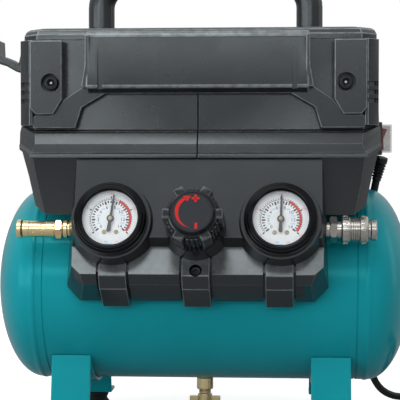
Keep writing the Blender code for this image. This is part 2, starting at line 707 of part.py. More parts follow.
def make_pump():
    """The cylinder, its head and the piston that slides in it."""
    place = (CYLINDER_X, 0, MOTOR_Z)
    turn = (-RIGHT_ANGLE, 0, 0)
    fins = [(31, 59.9)]
    for index in range(3):
        y = 54 - 11 * index
        fins += [(31, y), (26, y - 1), (26, y - 6), (31, y - 7)]
    liner = [*fins, (31, 21), (24, 20), (24, 10.6), (21.4, 10.6), (21.4, 59.9)]
    turned("pump_cylinder", liner, "aluminium", place, turn, steps=20)
    head = [(0, 80), (28, 80), (28, 75), (33, 74), (33, 60.3), (0, 60.3)]
    turned("cylinder_head", head, "aluminium", place, turn, steps=20)
    rod = part("piston_rod", cylinder_mesh("piston_rod", 21, 37, 49, 24), "aluminium", place, turn)
    bar = box_mesh("rod_bar", (-4, -14, -4), (4, 40, 4))
    join(rod, helper("rod_bar", bar, place))
    eye = cylinder_mesh("rod_eye", 9, -4, 4, 20)
    join(rod, helper("rod_eye", eye, (CYLINDER_X, MOTOR_Y, MOTOR_Z), (0, RIGHT_ANGLE, 0)))
    hole = cylinder_mesh("rod_eye_hole", 4.4, -6, 6, 16)
    cut(rod, helper("rod_eye_hole", hole, (CYLINDER_X, MOTOR_Y, MOTOR_Z), (0, RIGHT_ANGLE, 0)))
    outline = [(0, 22), (10, 22), (12, 20), (12, 4), (4, 3), (4, 0), (0, 0)]
    turned("air_filter", outline, "filter_foam", (CYLINDER_X, 68, MOTOR_Z + 33.4), steps=16)


def make_delivery():
    """The check valve on the tank, the copper tube to it and the pressure switch."""
    valve = [(0, 226), (6, 226), (6, 219), (9, 218), (9, 208), (7, 207), (7, 200.5), (0, 200.5)]
    turned("check_valve", valve, "brass", (CHECK_VALVE_X, 0, 0), steps=16)
    route = [
        (48.6, 68, 252), (58, 68, 252), (68, 66, 251.5), (76, 58, 250), (79.6, 46, 247), (80, 33, 244),
        (80, 20, 241), (80, 8, 238.5), (80, 0.8, 234), (80, 0, 226.4),
    ]
    tube("discharge_tube", smooth_points(route, 2), 6, "copper")
    low, high = (97, -52, 205), (127, -16, 250)
    part("pressure_switch", box_mesh("pressure_switch", low, high), "black_plastic")


# Switch and cord


def make_switch():
    """The mains switch on the right side, under its clear splash cover."""
    y, z = SWITCH_Y, SWITCH_Z
    mesh = box_mesh("switch_frame", (143.8, y - 15, z - 14), (150.2, y + 15, z + 14))
    frame = part("switch_frame", mesh, "black_plastic")
    box = box_mesh("switch_box", (118, y - 11, z - 11.5), (146, y + 11, z + 11.5))
    join(frame, helper("switch_box", box))
    cut(frame, helper("rocker_well", box_mesh("rocker_well", (136, y - 8, z - 10), (152, y + 8, z + 10))))
    outline = [(-8, -6), (0.5, -9.2), (4.6, -9), (2.6, 0), (4.6, 9), (0.5, 9.2), (-8, 6)]
    mesh = prism_mesh("switch_rocker", outline, "Y", -7.4, 7.4)
    mesh.transform(Matrix.Rotation(ROCKER_TILT, 4, "Y"))
    part("switch_rocker", mesh, "red_plastic", (149, y, z))
    mesh = box_mesh("switch_cover", (150.5, y - 13, z - 12), (158.5, y + 13, z + 12))
    cover = part("switch_cover", mesh, "smoke_plastic")
    hollow = box_mesh("cover_hollow", (149, y - 11.8, z - 10.8), (157.3, y + 11.8, z + 10.8))
    cut(cover, helper("cover_hollow", hollow))


def make_strain_relief():
    """The tapered boot that the mains cord leaves through."""
    top, end = Vector(RELIEF_TOP), Vector(RELIEF_END)
    length = (end - top).length
    turn = (top - end).to_track_quat("Z", "Y").to_euler()
    outline = [(0, length), (5.4, length), (5.4, length - 5), (4.2, 0.0), (0, 0)]
    turned("cord_strain_relief", outline, "rubber", RELIEF_END, turn, steps=16)


def make_cord():
    """The free mains cord: the run down to the floor, the coil, the short tail and the plug."""
    tube("power_cord", smooth_points(CORD_ROUTE, 2), CORD_DIAMETER, "black_plastic")
    half = COIL_ACROSS * CORD_DIAMETER / 2
    inner, outer = COIL_MIDDLE_RADIUS - half, COIL_MIDDLE_RADIUS + half
    top = COIL_LAYERS * CORD_DIAMETER + 0.2
    outline = [
        (inner + 2, top), (outer - 2, top), (outer, top - 3), (outer, 3), (outer - 2, 0.2), (inner + 2, 0.2),
        (inner, 3), (inner, top - 3),
    ]
    turned("cord_coil", outline, "black_plastic", (*COIL_CENTRE, 0), steps=24)
    tube("cord_tail", smooth_points(TAIL_ROUTE, 2), CORD_DIAMETER, "black_plastic")


def make_plug():
    """A two-pin mains plug that lies beside the coil."""
    x, y, z = PLUG_PLACE
    turn = (RIGHT_ANGLE, 0, 0)
    mesh = cylinder_mesh("plug_body", 13.4, 0, 34, 20)
    mesh.transform(Matrix.Diagonal((1.35, 1.0, 1.0, 1.0)))
    plug = part("plug_body", mesh, "black_plastic", (x, y, z), turn)
    join(plug, helper("plug_neck", cylinder_mesh("plug_neck", 9, -14, 2, 16, top_radius=10), (x, y, z), turn))
    for index, offset in enumerate((-9.5, 9.5)):
        name = f"plug_pin_{index + 1}"
        join(plug, helper(name, cylinder_mesh(name, 2.4, 30, 53, 12), (x + offset, y, z), turn))


def main():
    """Build every sub-part."""
    make_tank()
    make_feet()
    make_drain()
    make_front_shells()
    make_rear_shell()
    make_top_cover()
    make_handle()
    make_hose_hook()
    make_panel()
    make_gauge("tank_gauge", -GAUGE_X, TANK_NEEDLE_TURN)
    make_gauge("outlet_gauge", GAUGE_X, OUTLET_NEEDLE_TURN)
    make_regulator()
    make_air_pipes()
    make_relief_valve()
    make_coupler()
    make_cradle()
    make_motor()
    make_pump()
    make_delivery()
    make_switch()
    make_strain_relief()
    make_cord()
    make_plug()


main()
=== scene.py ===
"""The finished looks of a small portable air compressor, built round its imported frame.

A charcoal plastic housing stands on a teal air tank. Its front carries a tilted panel with
two pressure gauges and the regulator knob, a brass relief valve leaves the panel on the
left and a quick coupler on the right. The mains switch and the cord are on the right side.

Sizes are in millimetres. x and z are those of the frame, and y is counted from the upright
plane through the tank's axis, with the front at negative y.
"""

import logging
import math
from dataclasses import dataclass
from enum import Enum
from typing import Any, Callable, Iterable, Optional, Sequence

import bmesh
import bpy
from mathutils import Matrix, Vector


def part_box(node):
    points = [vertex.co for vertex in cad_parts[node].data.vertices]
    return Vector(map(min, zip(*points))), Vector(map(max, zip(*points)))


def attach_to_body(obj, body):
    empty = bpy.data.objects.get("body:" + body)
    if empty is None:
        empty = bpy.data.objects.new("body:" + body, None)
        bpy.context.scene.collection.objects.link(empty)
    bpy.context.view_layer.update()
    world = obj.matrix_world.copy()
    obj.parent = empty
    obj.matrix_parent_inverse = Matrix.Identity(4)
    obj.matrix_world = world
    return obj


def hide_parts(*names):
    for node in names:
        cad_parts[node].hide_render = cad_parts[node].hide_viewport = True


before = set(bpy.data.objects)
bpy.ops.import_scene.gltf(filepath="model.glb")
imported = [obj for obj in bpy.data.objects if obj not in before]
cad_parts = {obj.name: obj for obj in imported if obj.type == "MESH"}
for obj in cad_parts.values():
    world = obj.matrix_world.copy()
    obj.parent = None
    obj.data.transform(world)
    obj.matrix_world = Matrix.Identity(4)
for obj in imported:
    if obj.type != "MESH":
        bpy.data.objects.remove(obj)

LOG = logging.getLogger("air_compressor")
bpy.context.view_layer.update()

MM = 0.001
TANK_LOW, TANK_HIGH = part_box("tank_shell")
TANK_Y = (TANK_LOW[1] + TANK_HIGH[1]) / 2 / MM
TANK_Z = (TANK_LOW[2] + TANK_HIGH[2]) / 2 / MM
TANK_RADIUS = (TANK_HIGH[2] - TANK_LOW[2]) / 2 / MM
TANK_SEAM_X = TANK_HIGH[0] / MM
TO_WORLD = Matrix.Translation((0, TANK_Y * MM, 0)) @ Matrix.Diagonal((MM, MM, MM, 1))

RIGHT_ANGLE = math.pi / 2
PANEL_TILT = math.radians(17)
FACE_TILT = (RIGHT_ANGLE - PANEL_TILT, 0.0, 0.0)
FORWARD = (RIGHT_ANGLE, 0.0, 0.0)
ALONG_X = (0.0, RIGHT_ANGLE, 0.0)
GAUGE_X = 65.0
GAUGE_SEAT = (-119.0, 178.9)
KNOB_SEAT = (-120.5, 174.8)
EDGE_LAYER = "edge"

Point = Sequence[float]
Outline = Sequence[Point]


class Axis(Enum):
    """The direction in which a prism is drawn out, with its two sideways axes."""

    X = (1, 2, 0)
    Y = (0, 2, 1)
    Z = (0, 1, 2)


class Body(Enum):
    """The bodies that the new pieces ride on, by their names in the frame."""

    FRAME = "frame"
    KNOB = "knob"
    TANK_NEEDLE = "tank_needle"
    OUTLET_NEEDLE = "outlet_needle"
    RELIEF_CAP = "relief_cap"
    SLEEVE = "sleeve"
    ROCKER = "rocker"
    DRAIN_TAP = "drain_tap"


# Shapes


class Shape:
    """A solid under construction, in millimetres."""

    def __init__(self) -> None:
        """Start with nothing in it."""
        self.mesh = bmesh.new()
        self.mesh.faces.layers.float.new(EDGE_LAYER)

    @classmethod
    def box(cls, low: Point, high: Point) -> "Shape":
        """A block between two corners.

        Args:
            low: Its lowest corner.
            high: Its highest corner.

        Returns:
            The block.
        """
        shape = cls()
        size = Vector(high) - Vector(low)
        middle = (Vector(high) + Vector(low)) / 2
        matrix = Matrix.Translation(middle) @ Matrix.Diagonal((*size, 1))
        bmesh.ops.create_cube(shape.mesh, size=1.0, matrix=matrix)
        return shape

    @classmethod
    def cylinder(
        cls, radius: float, low: float, high: float, sides: int = 48, top: Optional[float] = None
    ) -> "Shape":
        """A round bar or a cone along z.

        Args:
            radius: Its radius at the lower end.
            low: The height of its lower end.
            high: The height of its upper end.
            sides: How many sides stand for the circle.
            top: Its radius at the upper end, if that differs.

        Returns:
            The bar or cone.
        """
        shape = cls()
        bmesh.ops.create_cone(
            shape.mesh, cap_ends=True, cap_tris=False, segments=sides, radius1=radius,
            radius2=radius if top is None else top, depth=high - low,
            matrix=Matrix.Translation((0, 0, (low + high) / 2)),
        )
        return shape

    @classmethod
    def prism(cls, outline: Outline, axis: Axis, low: float, high: float) -> "Shape":
        """An outline drawn out along an axis.

        Args:
            outline: Its corners, on the axis's two sideways axes.
            axis: The direction it is drawn out in.
            low: Where it starts on that axis.
            high: Where it ends on that axis.

        Returns:
            The prism.
        """
        shape = cls()
        first, second, depth = axis.value
        corners = []
        for point in outline:
            place = [0.0, 0.0, 0.0]
            place[first], place[second], place[depth] = point[0], point[1], low
            corners.append(shape.mesh.verts.new(place))
        face = shape.mesh.faces.new(corners)
        made = bmesh.ops.extrude_face_region(shape.mesh, geom=[face])["geom"]
        step = Vector((0, 0, 0))
        step[depth] = high - low
        fresh = [item for item in made if isinstance(item, bmesh.types.BMVert)]
        bmesh.ops.translate(shape.mesh, verts=fresh, vec=step)
        return shape.outward()

    @classmethod
    def turned(cls, profile: Outline, sides: int = 64) -> "Shape":
        """A profile turned round z.

        Args:
            profile: Points of radius and height. It is a closed line, or starts and ends on the axis.
            sides: How many steps the full turn has.

        Returns:
            The turned shape.
        """
        shape = cls()
        line = [shape.mesh.verts.new((radius, 0, height)) for radius, height in profile]
        pairs = list(zip(line, line[1:]))
        if profile[0][0] > 0 or profile[-1][0] > 0:
            pairs.append((line[-1], line[0]))
        edges = [shape.mesh.edges.new(pair) for pair in pairs]
        bmesh.ops.spin(
            shape.mesh, geom=line + edges, cent=(0, 0, 0), axis=(0, 0, 1), angle=math.tau,
            steps=sides, use_merge=True, use_duplicate=False,
        )
        bmesh.ops.remove_doubles(shape.mesh, verts=shape.mesh.verts, dist=0.001)
        return shape.outward()

    @classmethod
    def skin(cls, rings: Sequence[Outline], closed: bool = True, capped: bool = True) -> "Shape":
        """A skin drawn from one ring of points to the next.

        Args:
            rings: The rings, each with the same number of points.
            closed: Whether each ring joins its last point to its first.
            capped: Whether the first and the last ring are filled.

        Returns:
            The skin.
        """
        shape = cls()
        mesh = shape.mesh
        row = [mesh.verts.new(point) for point in rings[0]]
        ends = [row]
        for ring in rings[1:]:
            pairs = list(zip(row, row[1:])) + ([(row[-1], row[0])] if closed else [])
            edges = [mesh.edges.get(pair) or mesh.edges.new(pair) for pair in pairs]
            made = bmesh.ops.extrude_edge_only(mesh, edges=edges)["geom"]
            fresh = {item for item in made if isinstance(item, bmesh.types.BMVert)}
            row = [next(e.other_vert(v) for e in v.link_edges if e.other_vert(v) in fresh) for v in row]
            for vert, point in zip(row, ring):
                vert.co = point
            ends = [ends[0], row]
        if capped:
            for end in ends:
                mesh.faces.new(end)
        return shape.outward()

    def outward(self) -> "Shape":
        """Turn every face of a closed shape outwards."""
        bmesh.ops.recalc_face_normals(self.mesh, faces=self.mesh.faces)
        return self

    def facing(self, direction: Point) -> "Shape":
        """Turn an open skin over if, on the whole, it looks away from a direction.

        Args:
            direction: The side that its outside looks to.

        Returns:
            The same shape.
        """
        total = sum((face.normal * face.calc_area() for face in self.mesh.faces), Vector())
        if total.dot(Vector(direction)) < 0:
            bmesh.ops.reverse_faces(self.mesh, faces=self.mesh.faces)
        return self

    def walled(self, thickness: float) -> "Shape":
        """Give an open skin a wall on its inner side.

        Args:
            thickness: How thick the wall is.

        Returns:
            The same shape.
        """
        bmesh.ops.solidify(self.mesh, geom=list(self.mesh.faces), thickness=thickness)
        return self.outward()

    def softened(self, width: float, angle: float = 28, segments: int = 2, mark: bool = True) -> "Shape":
        """Round off the sharp edges.

        Args:
            width: The width of the rounding.
            angle: Edges that turn by more than this many degrees are rounded.
            segments: How many strips the rounding has.
            mark: Whether the rounding is flagged as an edge, which finishes paint lighter, part wear and part
                painted highlight.

        Returns:
            The same shape.
        """
        sharp = [
            edge for edge in self.mesh.edges
            if len(edge.link_faces) == 2 and edge.calc_face_angle(0) > math.radians(angle)
        ]
        made = bmesh.ops.bevel(
            self.mesh, geom=sharp, offset=width, affect="EDGES", segments=segments, profile=0.5,
            material=-1, clamp_overlap=True,
        )["faces"]
        if mark:
            layer = self.mesh.faces.layers.float[EDGE_LAYER]
            for face in made:
                face[layer] = 1.0
        return self

    def marked(self, amount: float, wanted: Callable[[bmesh.types.BMFace], bool]) -> "Shape":
        """Paint chosen faces partly in the lighter edge colour, as painted light.

        Args:
            amount: How much of the lighter colour they get, up to 1.
            wanted: Says which faces.

        Returns:
            The same shape.
        """
        layer = self.mesh.faces.layers.float.get(EDGE_LAYER) or self.mesh.faces.layers.float.new(EDGE_LAYER)
        self.mesh.normal_update()
        for face in self.mesh.faces:
            if wanted(face):
                face[layer] = max(face[layer], amount)
        return self

    def moved(self, place: Point = (0, 0, 0), turn: Point = (0, 0, 0)) -> "Shape":
        """Turn the shape round the origin, then move it.

        Args:
            place: How far it moves.
            turn: Its turns about x, y and z, in radians.

        Returns:
            The same shape.
        """
        x, y, z = (Matrix.Rotation(angle, 4, name) for angle, name in zip(turn, "XYZ"))
        bmesh.ops.transform(self.mesh, matrix=Matrix.Translation(place) @ z @ y @ x, verts=self.mesh.verts)
        return self

    def stretched(self, scale: Point) -> "Shape":
        """Stretch the shape along its axes.

        Args:
            scale: The factor on each axis. A negative one mirrors it.

        Returns:
            The same shape.
        """
        bmesh.ops.transform(self.mesh, matrix=Matrix.Diagonal((*scale, 1)), verts=self.mesh.verts)
        return self.outward()

    def add(self, *others: "Shape") -> "Shape":
        """Put other bodies beside this one, in one mesh.

        Args:
            others: The shapes to take in. They are used up.

        Returns:
            The same shape.
        """
        for other in others:
            carrier = bpy.data.meshes.new("carrier")
            other.mesh.to_mesh(carrier)
            self.mesh.from_mesh(carrier)
            bpy.data.meshes.remove(carrier)
            other.mesh.free()
        return self

    def combined(self, other: "Shape", operation: str) -> "Shape":
        """Cut, join or intersect with another closed shape.

        Args:
            other: The other shape. It is used up.
            operation: DIFFERENCE, UNION or INTERSECT.

        Returns:
            The same shape.
        """
        objects = []
        for shape in (self, other):
            mesh = bpy.data.meshes.new("block")
            shape.mesh.to_mesh(mesh)
            shape.mesh.free()
            obj = bpy.data.objects.new("block", mesh)
            bpy.context.collection.objects.link(obj)
            objects.append(obj)
        modifier = objects[0].modifiers.new("combined", "BOOLEAN")
        modifier.object = objects[1]
        modifier.operation = operation
        modifier.solver = "EXACT"
        graph = bpy.context.evaluated_depsgraph_get()
        result = objects[0].evaluated_get(graph)
        self.mesh = bmesh.new()
        self.mesh.from_mesh(result.to_mesh())
        result.to_mesh_clear()
        for obj in objects:
            mesh = obj.data
            bpy.data.objects.remove(obj)
            bpy.data.meshes.remove(mesh)
        bmesh.ops.remove_doubles(self.mesh, verts=self.mesh.verts, dist=0.002)
        return self

    def cut(self, *tools: "Shape") -> "Shape":
        """Take other shapes out of this one.

        Args:
            tools: The shapes to take out. They are used up.

        Returns:
            The same shape.
        """
        for tool in tools:
            self.combined(tool, "DIFFERENCE")
        return self

    def joined(self, *others: "Shape") -> "Shape":
        """Melt other shapes into this one.

        Args:
            others: The shapes to melt in. They are used up.

        Returns:
            The same shape.
        """
        for other in others:
            self.combined(other, "UNION")
        return self

    def piece(
        self, name: str, finish: "Finish", slot: str, body: Body = Body.FRAME,
        replaces: Iterable[str] = (), smooth: float = 14,
    ) -> bpy.types.Object:
        """Finish the shape as a piece of the machine.

        Args:
            name: The piece's name.
            finish: Its finish.
            slot: The name of the record's material slot for it, which is only logged.
            body: The body that it moves with.
            replaces: The CAD nodes that it stands for.
            smooth: Edges that turn by less than this many degrees are shaded smooth.

        Returns:
            The new object, at the origin with its place in its mesh.
        """
        bmesh.ops.transform(self.mesh, matrix=TO_WORLD, verts=self.mesh.verts)
        mesh = bpy.data.meshes.new(name)
        self.mesh.to_mesh(mesh)
        self.mesh.free()
        mesh.shade_smooth()
        mesh.set_sharp_from_angle(angle=math.radians(smooth))
        mesh.materials.append(finish.material())
        obj = bpy.data.objects.new(name, mesh)
        bpy.context.collection.objects.link(obj)
        return attach(obj, slot, body, replaces)


def attach(obj: bpy.types.Object, slot: str, body: Body, replaces: Iterable[str] = ()) -> bpy.types.Object:
    """Let a piece ride on its body and report it.

    Args:
        obj: The piece.
        slot: The name of the record's material slot for it, which is only logged.
        body: The body that it moves with.
        replaces: The CAD nodes that it stands for.

    Returns:
        The same object.
    """
    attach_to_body(obj, body.value)
    nodes = list(replaces)
    if nodes:
        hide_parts(*nodes)
    LOG.info("%s rides on %s in %s", obj.name, body.value, slot)
    return obj


def arc(
    radius: float, start: float, end: float, steps: int, centre: Point = (0, 0)
) -> list[tuple[float, float]]:
    """Points on an arc.

    Args:
        radius: The arc's radius.
        start: The angle of its first point, in degrees from the first axis.
        end: The angle of its last point.
        steps: How many steps lead from one to the other.
        centre: The arc's centre.

    Returns:
        The points in order.
    """
    angles = [math.radians(start + (end - start) * step / steps) for step in range(steps + 1)]
    return [(centre[0] + radius * math.cos(a), centre[1] + radius * math.sin(a)) for a in angles]


def spline_through(route: Sequence[Point], steps: int) -> list[Vector]:
    """Points on a smooth curve through every point of a route.

    Args:
        route: The points to pass through.
        steps: How many steps lead from one of them to the next.

    Returns:
        The points of the curve, ends included.
    """
    knots = [Vector(point) for point in route]
    knots = [2 * knots[0] - knots[1], *knots, 2 * knots[-1] - knots[-2]]
    points = []
    for a, b, c, d in zip(knots, knots[1:], knots[2:], knots[3:]):
        for step in range(steps):
            t = step / steps
            points.append(
                0.5 * (
                    2 * b + (c - a) * t + (2 * a - 5 * b + 4 * c - d) * t**2 + (3 * b - a - 3 * c + d) * t**3
                )
            )
    return points + [knots[-2]]


# Finishes


class Group(Enum):
    """The effects that several finishes share."""

    GRAIN = "moulded_grain"
    # The edges are painted lighter: part wear, part painted highlight.
    EDGES = "rubbed_edges"
    TURNING = "turning_lines"


class Tree:
    """A node tree that is being laid out."""

    def __init__(self, tree: bpy.types.NodeTree) -> None:
        """Work on a tree.

        Args:
            tree: The node tree of a material or a group.
        """
        self.tree = tree

    def node(self, kind: str, settings: Optional[dict[str, Any]] = None, **inputs: Any) -> bpy.types.Node:
        """Add a node.

        Args:
            kind: The node's type.
            settings: Its properties.
            inputs: Values or sockets for its inputs, with _ for each space in a name.

        Returns:
            The node.
        """
        node = self.tree.nodes.new(kind)
        for key, value in (settings or {}).items():
            setattr(node, key, value)
        for key, value in inputs.items():
            self.feed(node.inputs[key.replace("_", " ")], value)
        return node

    def feed(self, socket: bpy.types.NodeSocket, value: Any) -> None:
        """Link another socket into this one, or set its value.

        Args:
            socket: The input.
            value: A value or an output to link.
        """
        if isinstance(value, bpy.types.NodeSocket):
            self.tree.links.new(value, socket)
        else:
            socket.default_value = value

    def math(
        self, operation: str, first: Any, second: Any = 0.0, clamp: bool = False
    ) -> bpy.types.NodeSocket:
        """A sum, product or other operation on two values.

        Args:
            operation: The Math node's operation.
            first: The first value or socket.
            second: The second value or socket.
            clamp: Whether the result is kept between 0 and 1.

        Returns:
            The socket with the result.
        """
        node = self.tree.nodes.new("ShaderNodeMath")
        node.operation = operation
        node.use_clamp = clamp
        for socket, value in zip(node.inputs, (first, second)):
            self.feed(socket, value)
        return node.outputs[0]

    def mix(self, amount: Any, first: Any, second: Any) -> bpy.types.NodeSocket:
        """A blend of two colours.

        Args:
            amount: How much of the second shows, from 0 to 1.
            first: A colour or a socket.
            second: A colour or a socket.

        Returns:
            The socket with the blended colour.
        """
        node = self.tree.nodes.new("ShaderNodeMix")
        node.data_type = "RGBA"
        factor, colour_a, colour_b, mixed = node.inputs[0], node.inputs[6], node.inputs[7], node.outputs[2]
        for socket, value in ((factor, amount), (colour_a, first), (colour_b, second)):
            self.feed(socket, value)
        return mixed

    def ramp(self, value: Any, low: float, high: float, start: float, end: float) -> bpy.types.NodeSocket:
        """A value spread from one range to another.

        Args:
            value: The socket to read.
            low: The value that becomes start.
            high: The value that becomes end.
            start: The new low end.
            end: The new high end.

        Returns:
            The socket with the new value.
        """
        node = self.node(
            "ShaderNodeMapRange", None, Value=value, From_Min=low, From_Max=high, To_Min=start, To_Max=end
        )
        return node.outputs[0]

    def place(self) -> bpy.types.NodeSocket:
        """The place on the object, in metres."""
        return self.node("ShaderNodeTexCoord").outputs["Object"]

    def group(self, kind: Group, **inputs: Any) -> bpy.types.Node:
        """Add one of the shared effects.

        Args:
            kind: Which effect.
            inputs: Values or sockets for its inputs.

        Returns:
            The group's node.
        """
        return self.node("ShaderNodeGroup", {"node_tree": shared_group(kind)}, **inputs)


def new_group(kind: Group, inputs: dict[str, Any], outputs: dict[str, str]) -> tuple[Tree, Any, Any]:
    """Start a node group.

    Args:
        kind: Which effect it will hold.
        inputs: The name and default of each input. A tuple makes a colour, a number a float.
        outputs: The name and socket type of each output.

    Returns:
        The tree, the node that holds the inputs and the node that takes the outputs.
    """
    group = bpy.data.node_groups.new(kind.value, "ShaderNodeTree")
    for name, value in inputs.items():
        colour = isinstance(value, tuple)
        kind_of = "NodeSocketColor" if colour else "NodeSocketFloat"
        socket = group.interface.new_socket(name=name, in_out="INPUT", socket_type=kind_of)
        socket.default_value = value
    for name, kind_of in outputs.items():
        group.interface.new_socket(name=name, in_out="OUTPUT", socket_type=kind_of)
    tree = Tree(group)
    return tree, tree.node("NodeGroupInput"), tree.node("NodeGroupOutput")


def grain_group() -> bpy.types.NodeTree:
    """A fine moulded grain as a height, with slow clouds as a mask from 0 to 1.

    Returns:
        The group's node tree.
    """
    outputs = {"Height": "NodeSocketFloat", "Cloud": "NodeSocketFloat"}
    tree, given, made = new_group(Group.GRAIN, {"Scale": 900.0, "Cloud Scale": 30.0}, outputs)
    place = tree.place()
    fine = tree.node(
        "ShaderNodeTexNoise", None, Vector=place, Scale=given.outputs["Scale"], Detail=2.0, Roughness=0.6
    )
    slow = tree.node(
        "ShaderNodeTexNoise", None, Vector=place, Scale=given.outputs["Cloud Scale"], Detail=3.0,
        Roughness=0.55
    )
    tree.feed(made.inputs["Height"], fine.outputs[0])
    tree.feed(made.inputs["Cloud"], tree.ramp(slow.outputs[0], 0.3, 0.7, 0.0, 1.0))
    return tree.tree


def edges_group() -> bpy.types.NodeTree:
    """A colour that turns lighter on the flagged edges, part wear and part painted highlight, with the mask
    that does it.

    Returns:
        The group's node tree.
    """
    given_values = {"Base": (0.05, 0.05, 0.05, 1.0), "Rubbed": (0.1, 0.1, 0.1, 1.0), "Amount": 1.0}
    outputs = {"Color": "NodeSocketColor", "Mask": "NodeSocketFloat"}
    tree, given, made = new_group(Group.EDGES, given_values, outputs)
    marked = tree.node("ShaderNodeAttribute", {"attribute_name": EDGE_LAYER}).outputs["Fac"]
    noise = tree.node("ShaderNodeTexNoise", None, Vector=tree.place(), Scale=160.0, Detail=2.0)
    broken = tree.ramp(noise.outputs[0], 0.35, 0.6, 0.55, 1.0)
    mask = tree.math("MULTIPLY", tree.math("MULTIPLY", marked, broken), given.outputs["Amount"], clamp=True)
    colour = tree.mix(mask, given.outputs["Base"], given.outputs["Rubbed"])
    tree.feed(made.inputs["Color"], colour)
    tree.feed(made.inputs["Mask"], mask)
    return tree.tree


def turning_group() -> bpy.types.NodeTree:
    """Fine lathe lines across x as a height, with uneven tarnish as a mask.

    Returns:
        The group's node tree.
    """
    outputs = {"Height": "NodeSocketFloat", "Tarnish": "NodeSocketFloat"}
    tree, given, made = new_group(Group.TURNING, {"Lines": 400.0, "Tarnish Scale": 120.0}, outputs)
    place = tree.place()
    wave = tree.node(
        "ShaderNodeTexWave", {"wave_type": "BANDS", "bands_direction": "X"}, Vector=place,
        Scale=given.outputs["Lines"], Distortion=1.5, Detail=2.0,
    )
    noise = tree.node(
        "ShaderNodeTexNoise", None, Vector=place, Scale=given.outputs["Tarnish Scale"], Detail=4.0,
        Roughness=0.6
    )
    tree.feed(made.inputs["Height"], wave.outputs["Fac"])
    tree.feed(made.inputs["Tarnish"], tree.ramp(noise.outputs[0], 0.35, 0.7, 0.0, 1.0))
    return tree.tree


def shared_group(kind: Group) -> bpy.types.NodeTree:
    """One of the shared effects, built the first time it is asked for.

    Args:
        kind: Which effect.

    Returns:
        Its node group.
    """
    made = bpy.data.node_groups.get(kind.value)
    if made:
        return made
    return {Group.GRAIN: grain_group, Group.EDGES: edges_group, Group.TURNING: turning_group}[kind]()


def linear(red: float, green: float, blue: float) -> tuple[float, float, float, float]:
    """A colour given in screen values from 0 to 255, as a linear one.

    Args:
        red: Its red.
        green: Its green.
        blue: Its blue.

    Returns:
        The linear colour with full alpha.
    """
    values = [channel / 255 for channel in (red, green, blue)]
    mixed = [v / 12.92 if v <= 0.04045 else ((v + 0.055) / 1.055) ** 2.4 for v in values]
    return (mixed[0], mixed[1], mixed[2], 1.0)


Colour = tuple[float, float, float, float]

WHITE: Colour = (1.0, 1.0, 1.0, 1.0)
COOL_SHINE: Colour = (0.86, 0.96, 1.0, 1.0)
PALE_FLOOR: Colour = (0.86, 0.86, 0.86, 1.0)
PALER_FLOOR: Colour = (0.9, 0.9, 0.9, 1.0)
FLOOR_BOUNCE: Colour = (0.36, 0.36, 0.37, 1.0)


@dataclass(frozen=True)
class Finish:
    """A finish, made into a material the first time that a piece asks for it."""

    name: str

    def material(self) -> bpy.types.Material:
        """The material with this finish.

        Returns:
            The material, with its nodes laid out.
        """
        made = bpy.data.materials.get(self.name)
        if made:
            return made
        made = bpy.data.materials.new(self.name)
        made.use_nodes = True
        shader = made.node_tree.nodes["Principled BSDF"]
        self.paint(Tree(made.node_tree), shader)
        return made

    def paint(self, tree: Tree, shader: bpy.types.Node) -> None:
        """Lay out the nodes. Each kind of finish does this in its own way.

        Args:
            tree: The material's node tree.
            shader: Its Principled shader.
        """
        raise NotImplementedError

    def bump(self, tree: Tree, shader: bpy.types.Node, height: Any, depth: float, strength: float) -> None:
        """Give the surface a fine relief.

        Args:
            tree: The material's node tree.
            shader: Its Principled shader.
            height: The socket with the relief.
            depth: How deep it is, in millimetres.
            strength: How much of it shows.
        """
        node = tree.node("ShaderNodeBump", None, Height=height, Distance=depth * MM, Strength=strength)
        tree.feed(shader.inputs["Normal"], node.outputs[0])


@dataclass(frozen=True)
class Moulded(Finish):
    """Plastic or rubber out of a mould, with grain, faint clouds and edges painted lighter, part wear and
    part painted highlight.
    """

    colour: Colour
    # The lighter edge colour: wear and painted highlight.
    wear_and_highlight: Colour
    roughness: float = 0.5
    edge: float = 0.7
    cloud: float = 0.18
    grain: float = 900.0
    depth: float = 0.12
    relief: float = 0.3
    coat: float = 0.0
    specular: float = 0.5

    def paint(self, tree: Tree, shader: bpy.types.Node) -> None:
        """Lay out grain, clouds and the edges, painted lighter as wear and as highlight.

        Args:
            tree: The material's node tree.
            shader: Its Principled shader.
        """
        grain = tree.group(Group.GRAIN, Scale=self.grain, Cloud_Scale=26.0)
        dark = tuple(channel * (1 - self.cloud) for channel in self.colour[:3]) + (1.0,)
        base = tree.mix(grain.outputs["Cloud"], dark, self.colour)
        # The bevels get the lighter colour: part edge wear, part painted highlight.
        edges = tree.group(Group.EDGES, Base=base, Rubbed=self.wear_and_highlight, Amount=self.edge)
        tree.feed(shader.inputs["Base Color"], edges.outputs["Color"])
        uneven = tree.ramp(grain.outputs["Cloud"], 0.0, 1.0, self.roughness + 0.05, self.roughness - 0.04)
        tree.feed(shader.inputs["Roughness"], uneven)
        shader.inputs["Coat Weight"].default_value = self.coat
        shader.inputs["Specular IOR Level"].default_value = self.specular
        shader.inputs["Specular Tint"].default_value = COOL_SHINE
        self.bump(tree, shader, grain.outputs["Height"], self.depth, self.relief)


